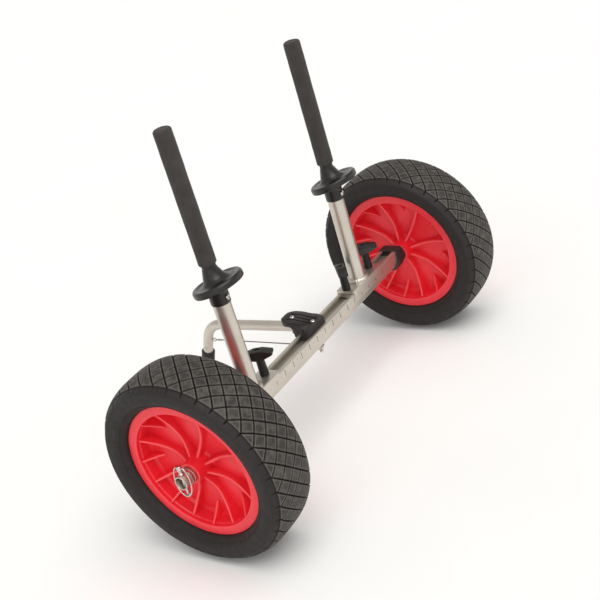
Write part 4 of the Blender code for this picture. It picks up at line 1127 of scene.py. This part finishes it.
def make_stand():
    tube = sweep("stand_leg_tube", stand_path(), 9.0, 40, bore=7.4)
    button_at = leg_point(-33.0)
    cut(tube, rod("hole", (STAND_X, PIVOT_Y, 0), UPRIGHT, BOLT_HOLE, 0, 45, 32),
        rod("hole", button_at, (-1, 0, 0), BOLT_HOLE, 0, 15, 32),
        rod("hole", leg_point(EYELET.z), (0, -1, 0), 1.9, 0, 15, 24))
    settle(tube, "stand", "satin_aluminium", "aluminium_y", "stand_tube")

    top = leg_point(-42.0)
    deep = (leg_point(LEG_TUBE_END) + LEG_WAY * 0.3 - top).length
    length = (leg_point(-TYRE_RADIUS) - top).length + 12
    profile = rounded([(9.3, 0), (12.0, 0), (12.0, length), (0, length), (0, deep), (9.3, deep)],
                      [0.3, 0.9, 0, 0, 0, 0], 3)
    foot = lathe("stand_foot_sleeve", profile, top, LEG_WAY, 64)
    cut(foot, block("ground", (-60, 200, -TYRE_RADIUS - 60), (60, 400, -TYRE_RADIUS)))
    bevelled(foot, 0.5, 2, 50.0)
    settle(foot, "stand", "black_nylon", "nylon", "stand_foot")

    profile = rounded([(0, 4.4), (3.0, 4.4), (3.0, 11.2), (0, 11.2)], [0, 0.2, 1.5, 0], 5)
    button = lathe("snap_button", profile, button_at, (-1, 0, 0), 40)
    settle(button, "stand_button", "plated_steel", "steel", "stand_button")

    root = leg_point(EYELET.z)
    size = 3.2
    ring = [EYELET + Vector((0, size * math.cos(a), size * math.sin(a)))
            for a in np.radians(np.arange(0, 360, 10))]
    eyelet = sweep("wire_eyelet", ring, 1.0, 14, closed=True)
    join(eyelet, rod("shank", root, (0, -1, 0), 1.3, 6.4, root.y - EYELET.y - 2.8, 24))
    settle(eyelet, "stand", "plated_steel", "steel", "stay_eyelet")


BLOCK_HALF = 19.0
BLOCK_FRONT = -11.0
BLOCK_BOTTOM = 13.0
SEAT_HALF = 9.6
SEAT_CEILING = 32.4


def seat_tool(way_x, way_y):
    """Round-topped slot for the tube, open below, from the pivot outwards."""
    low = BLOCK_BOTTOM - 5
    outline = [(-SEAT_HALF, low), (SEAT_HALF, low)]
    outline += arc((0, SEAT_CEILING - SEAT_HALF), SEAT_HALF, 0, 180, 20)
    place = Matrix(((-way_y, 0, way_x, STAND_X), (way_x, 0, way_y, PIVOT_Y), (0, 1, 0, 0), (0, 0, 0, 1)))
    return extrude("seat", outline, place, 60)


def top_groove(x, start, end):
    """Cutter for a lengthwise groove that follows the block's sloping top."""
    rise = (40.5 - 34.7) / 36.0
    floor = [(y, 34.7 + rise * (min(y, 30.0) + 6.0) - 1.3) for y in (start, 30.0, end)]
    outline = floor + [(end, 60.0), (start, 60.0)]
    return bevelled(extrude("groove", outline, along_x(STAND_X + x - 1.2), 2.4), 0.5, 2, 50.0)


def make_block():
    back = PIVOT_Y + BLOCK_HALF
    shelf = RAIL_TOP + 0.3
    side = [(BLOCK_FRONT, shelf), (RAIL_HALF_WIDTH + 0.3, shelf), (RAIL_HALF_WIDTH + 0.3, BLOCK_BOTTOM),
            (back, BLOCK_BOTTOM), (back, 41.5), (30.0, 40.5), (BLOCK_FRONT + 3, 34.7), (BLOCK_FRONT, 34.2)]
    side = rounded(side, [0.4, 0.6, 1.0, 1.5, 3.0, 6.0, 0.5, 0.5], 5)
    flare = 34.0
    plan = [(flare * 0.55, BLOCK_FRONT), (flare * 0.6, -4), (BLOCK_HALF + 2, 4), (BLOCK_HALF, 12)]
    plan += arc((0, PIVOT_Y), BLOCK_HALF, 0, 180, 36)
    plan += [(-BLOCK_HALF, 12), (-BLOCK_HALF - 3, 4), (-flare, -4), (-flare, BLOCK_FRONT)]
    plan = rounded(plan, [1.5, 2, 6, 6] + [0] * 37 + [6, 6, 2, 1.5], 4)
    body = extrude("stand_head_block", side, along_x(STAND_X - 60), 120)
    combine(body, "INTERSECT", [extrude("plan", [(STAND_X + x, y) for x, y in plan], upwards(0), 60)])
    bevelled(body, 0.8, 3, 50.0)
    cut(body, top_groove(-8.2, -3, 47), top_groove(8.2, -3, 47), top_groove(0, 7.5, 32.5))
    join(body, block("tongue", (STAND_X - 30, -9.2, 14.2), (STAND_X + 18, 9.2, RAIL_TOP + 6)))
    hollow = rod("well", (STAND_X, PIVOT_Y, 0), UPRIGHT, 15.2, 0, SEAT_CEILING, 64)
    swept = block("swept", (STAND_X - 40, PIVOT_Y, 0), (STAND_X, PIVOT_Y + 40, SEAT_CEILING - 0.4))
    cut(body, seat_tool(0, 1), seat_tool(-1, 0), hollow, swept,
        rod("hole", (STAND_X, PIVOT_Y, 0), UPRIGHT, BOLT_HOLE, 20, 60, 32),
        rod("hole", (STAND_X, 0, 0), UPRIGHT, BOLT_HOLE, 5, 60, 32),
        rod("recess", (STAND_X, PIVOT_Y, 0), UPRIGHT, 5.2, 38.6, 60, 48),
        rod("recess", (STAND_X, 0, 0), UPRIGHT, 5.2, 33.2, 60, 48))
    apply_modifiers(body, 40.0)
    settle(body, "chassis", "black_nylon", "nylon", "stand_block")


# ---------------------------------------------------------------- stay cable

CABLE_RADIUS = 1.0
STRANDS = 6
LAY_LENGTH = 7.0                # one turn of a strand along the cable


def make_stay():
    profile = rounded([(0, 0), (3.1, 0), (3.1, 2.4), (1.9, 4.2), (0, 4.2)], [0, 0.3, 0.8, 0.4, 0], 4)
    anchor = lathe("stay_anchor_rivet", profile, ANCHOR, (0, 1, 0), 40)
    settle(anchor, "chassis", "plated_steel", "steel", "stay_anchor")

    start = ANCHOR + Vector((0, 4.5, 0))
    way = (EYELET - start).normalized()
    length = (EYELET - start).length - 4.5
    count = 260
    path = [start + way * (length * i / (count - 1)) for i in range(count)]

    def strand(index, angle):
        twist = 2 * math.pi * length * index / (count - 1) / LAY_LENGTH
        return CABLE_RADIUS * (0.86 + 0.14 * abs(math.cos(STRANDS / 2 * (angle - twist))))

    cable = sweep("stay_cable_wire", path, strand, 24)
    settle(cable, None, "stay_wire", "wire", "stay_cable")
    ferrule_profile = rounded([(0.4, 0), (1.9, 0), (1.9, 9.5), (0.4, 9.5)], [0, 0.5, 0.5, 0], 3)

    def pressed(r, h, angle):
        """Crimp marks round the ferrule."""
        dent = 0.16 * (abs((h + 1.2) % 2.6 - 1.3) < 0.45)
        return r - dent, h

    band = [(r, h) for r, h in ferrule_profile[:5]]
    band += [(1.9, 0.8 + 0.25 * k) for k in range(32)]
    band += ferrule_profile[5:]
    ferrule = lathe("stay_ferrule", band, start + way * (length - 14.5), way, 32, pressed)
    settle(ferrule, "stand", "plated_steel", "steel")
    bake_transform(cable)


# ---------------------------------------------------------------- the cart

def dress_hidden_nodes():
    """The posts' inner cores keep their own solids, in the drawn aluminium."""
    for side in SIDES:
        data = NODES[side + "_post_core"].data
        data.materials.clear()
        data.materials.append(MATERIALS["aluminium_z"])


def make_cart():
    make_stay()
    make_axle()
    make_rail()
    make_scale()
    for side in SIDES:
        make_tyre(side)
        make_rim(side)
        make_bush(side)
        make_spacer(side)
        make_lock_pin(side)
        make_end_cap(side)
        make_saddle(side)
        make_post(side)
        make_flange(side)
        make_foam(side)
    for name in KNOB_TURN:
        make_knob(name)
    make_fasteners()
    make_block()
    make_stand()
    dress_hidden_nodes()


make_camera()
make_studio()
make_cart()
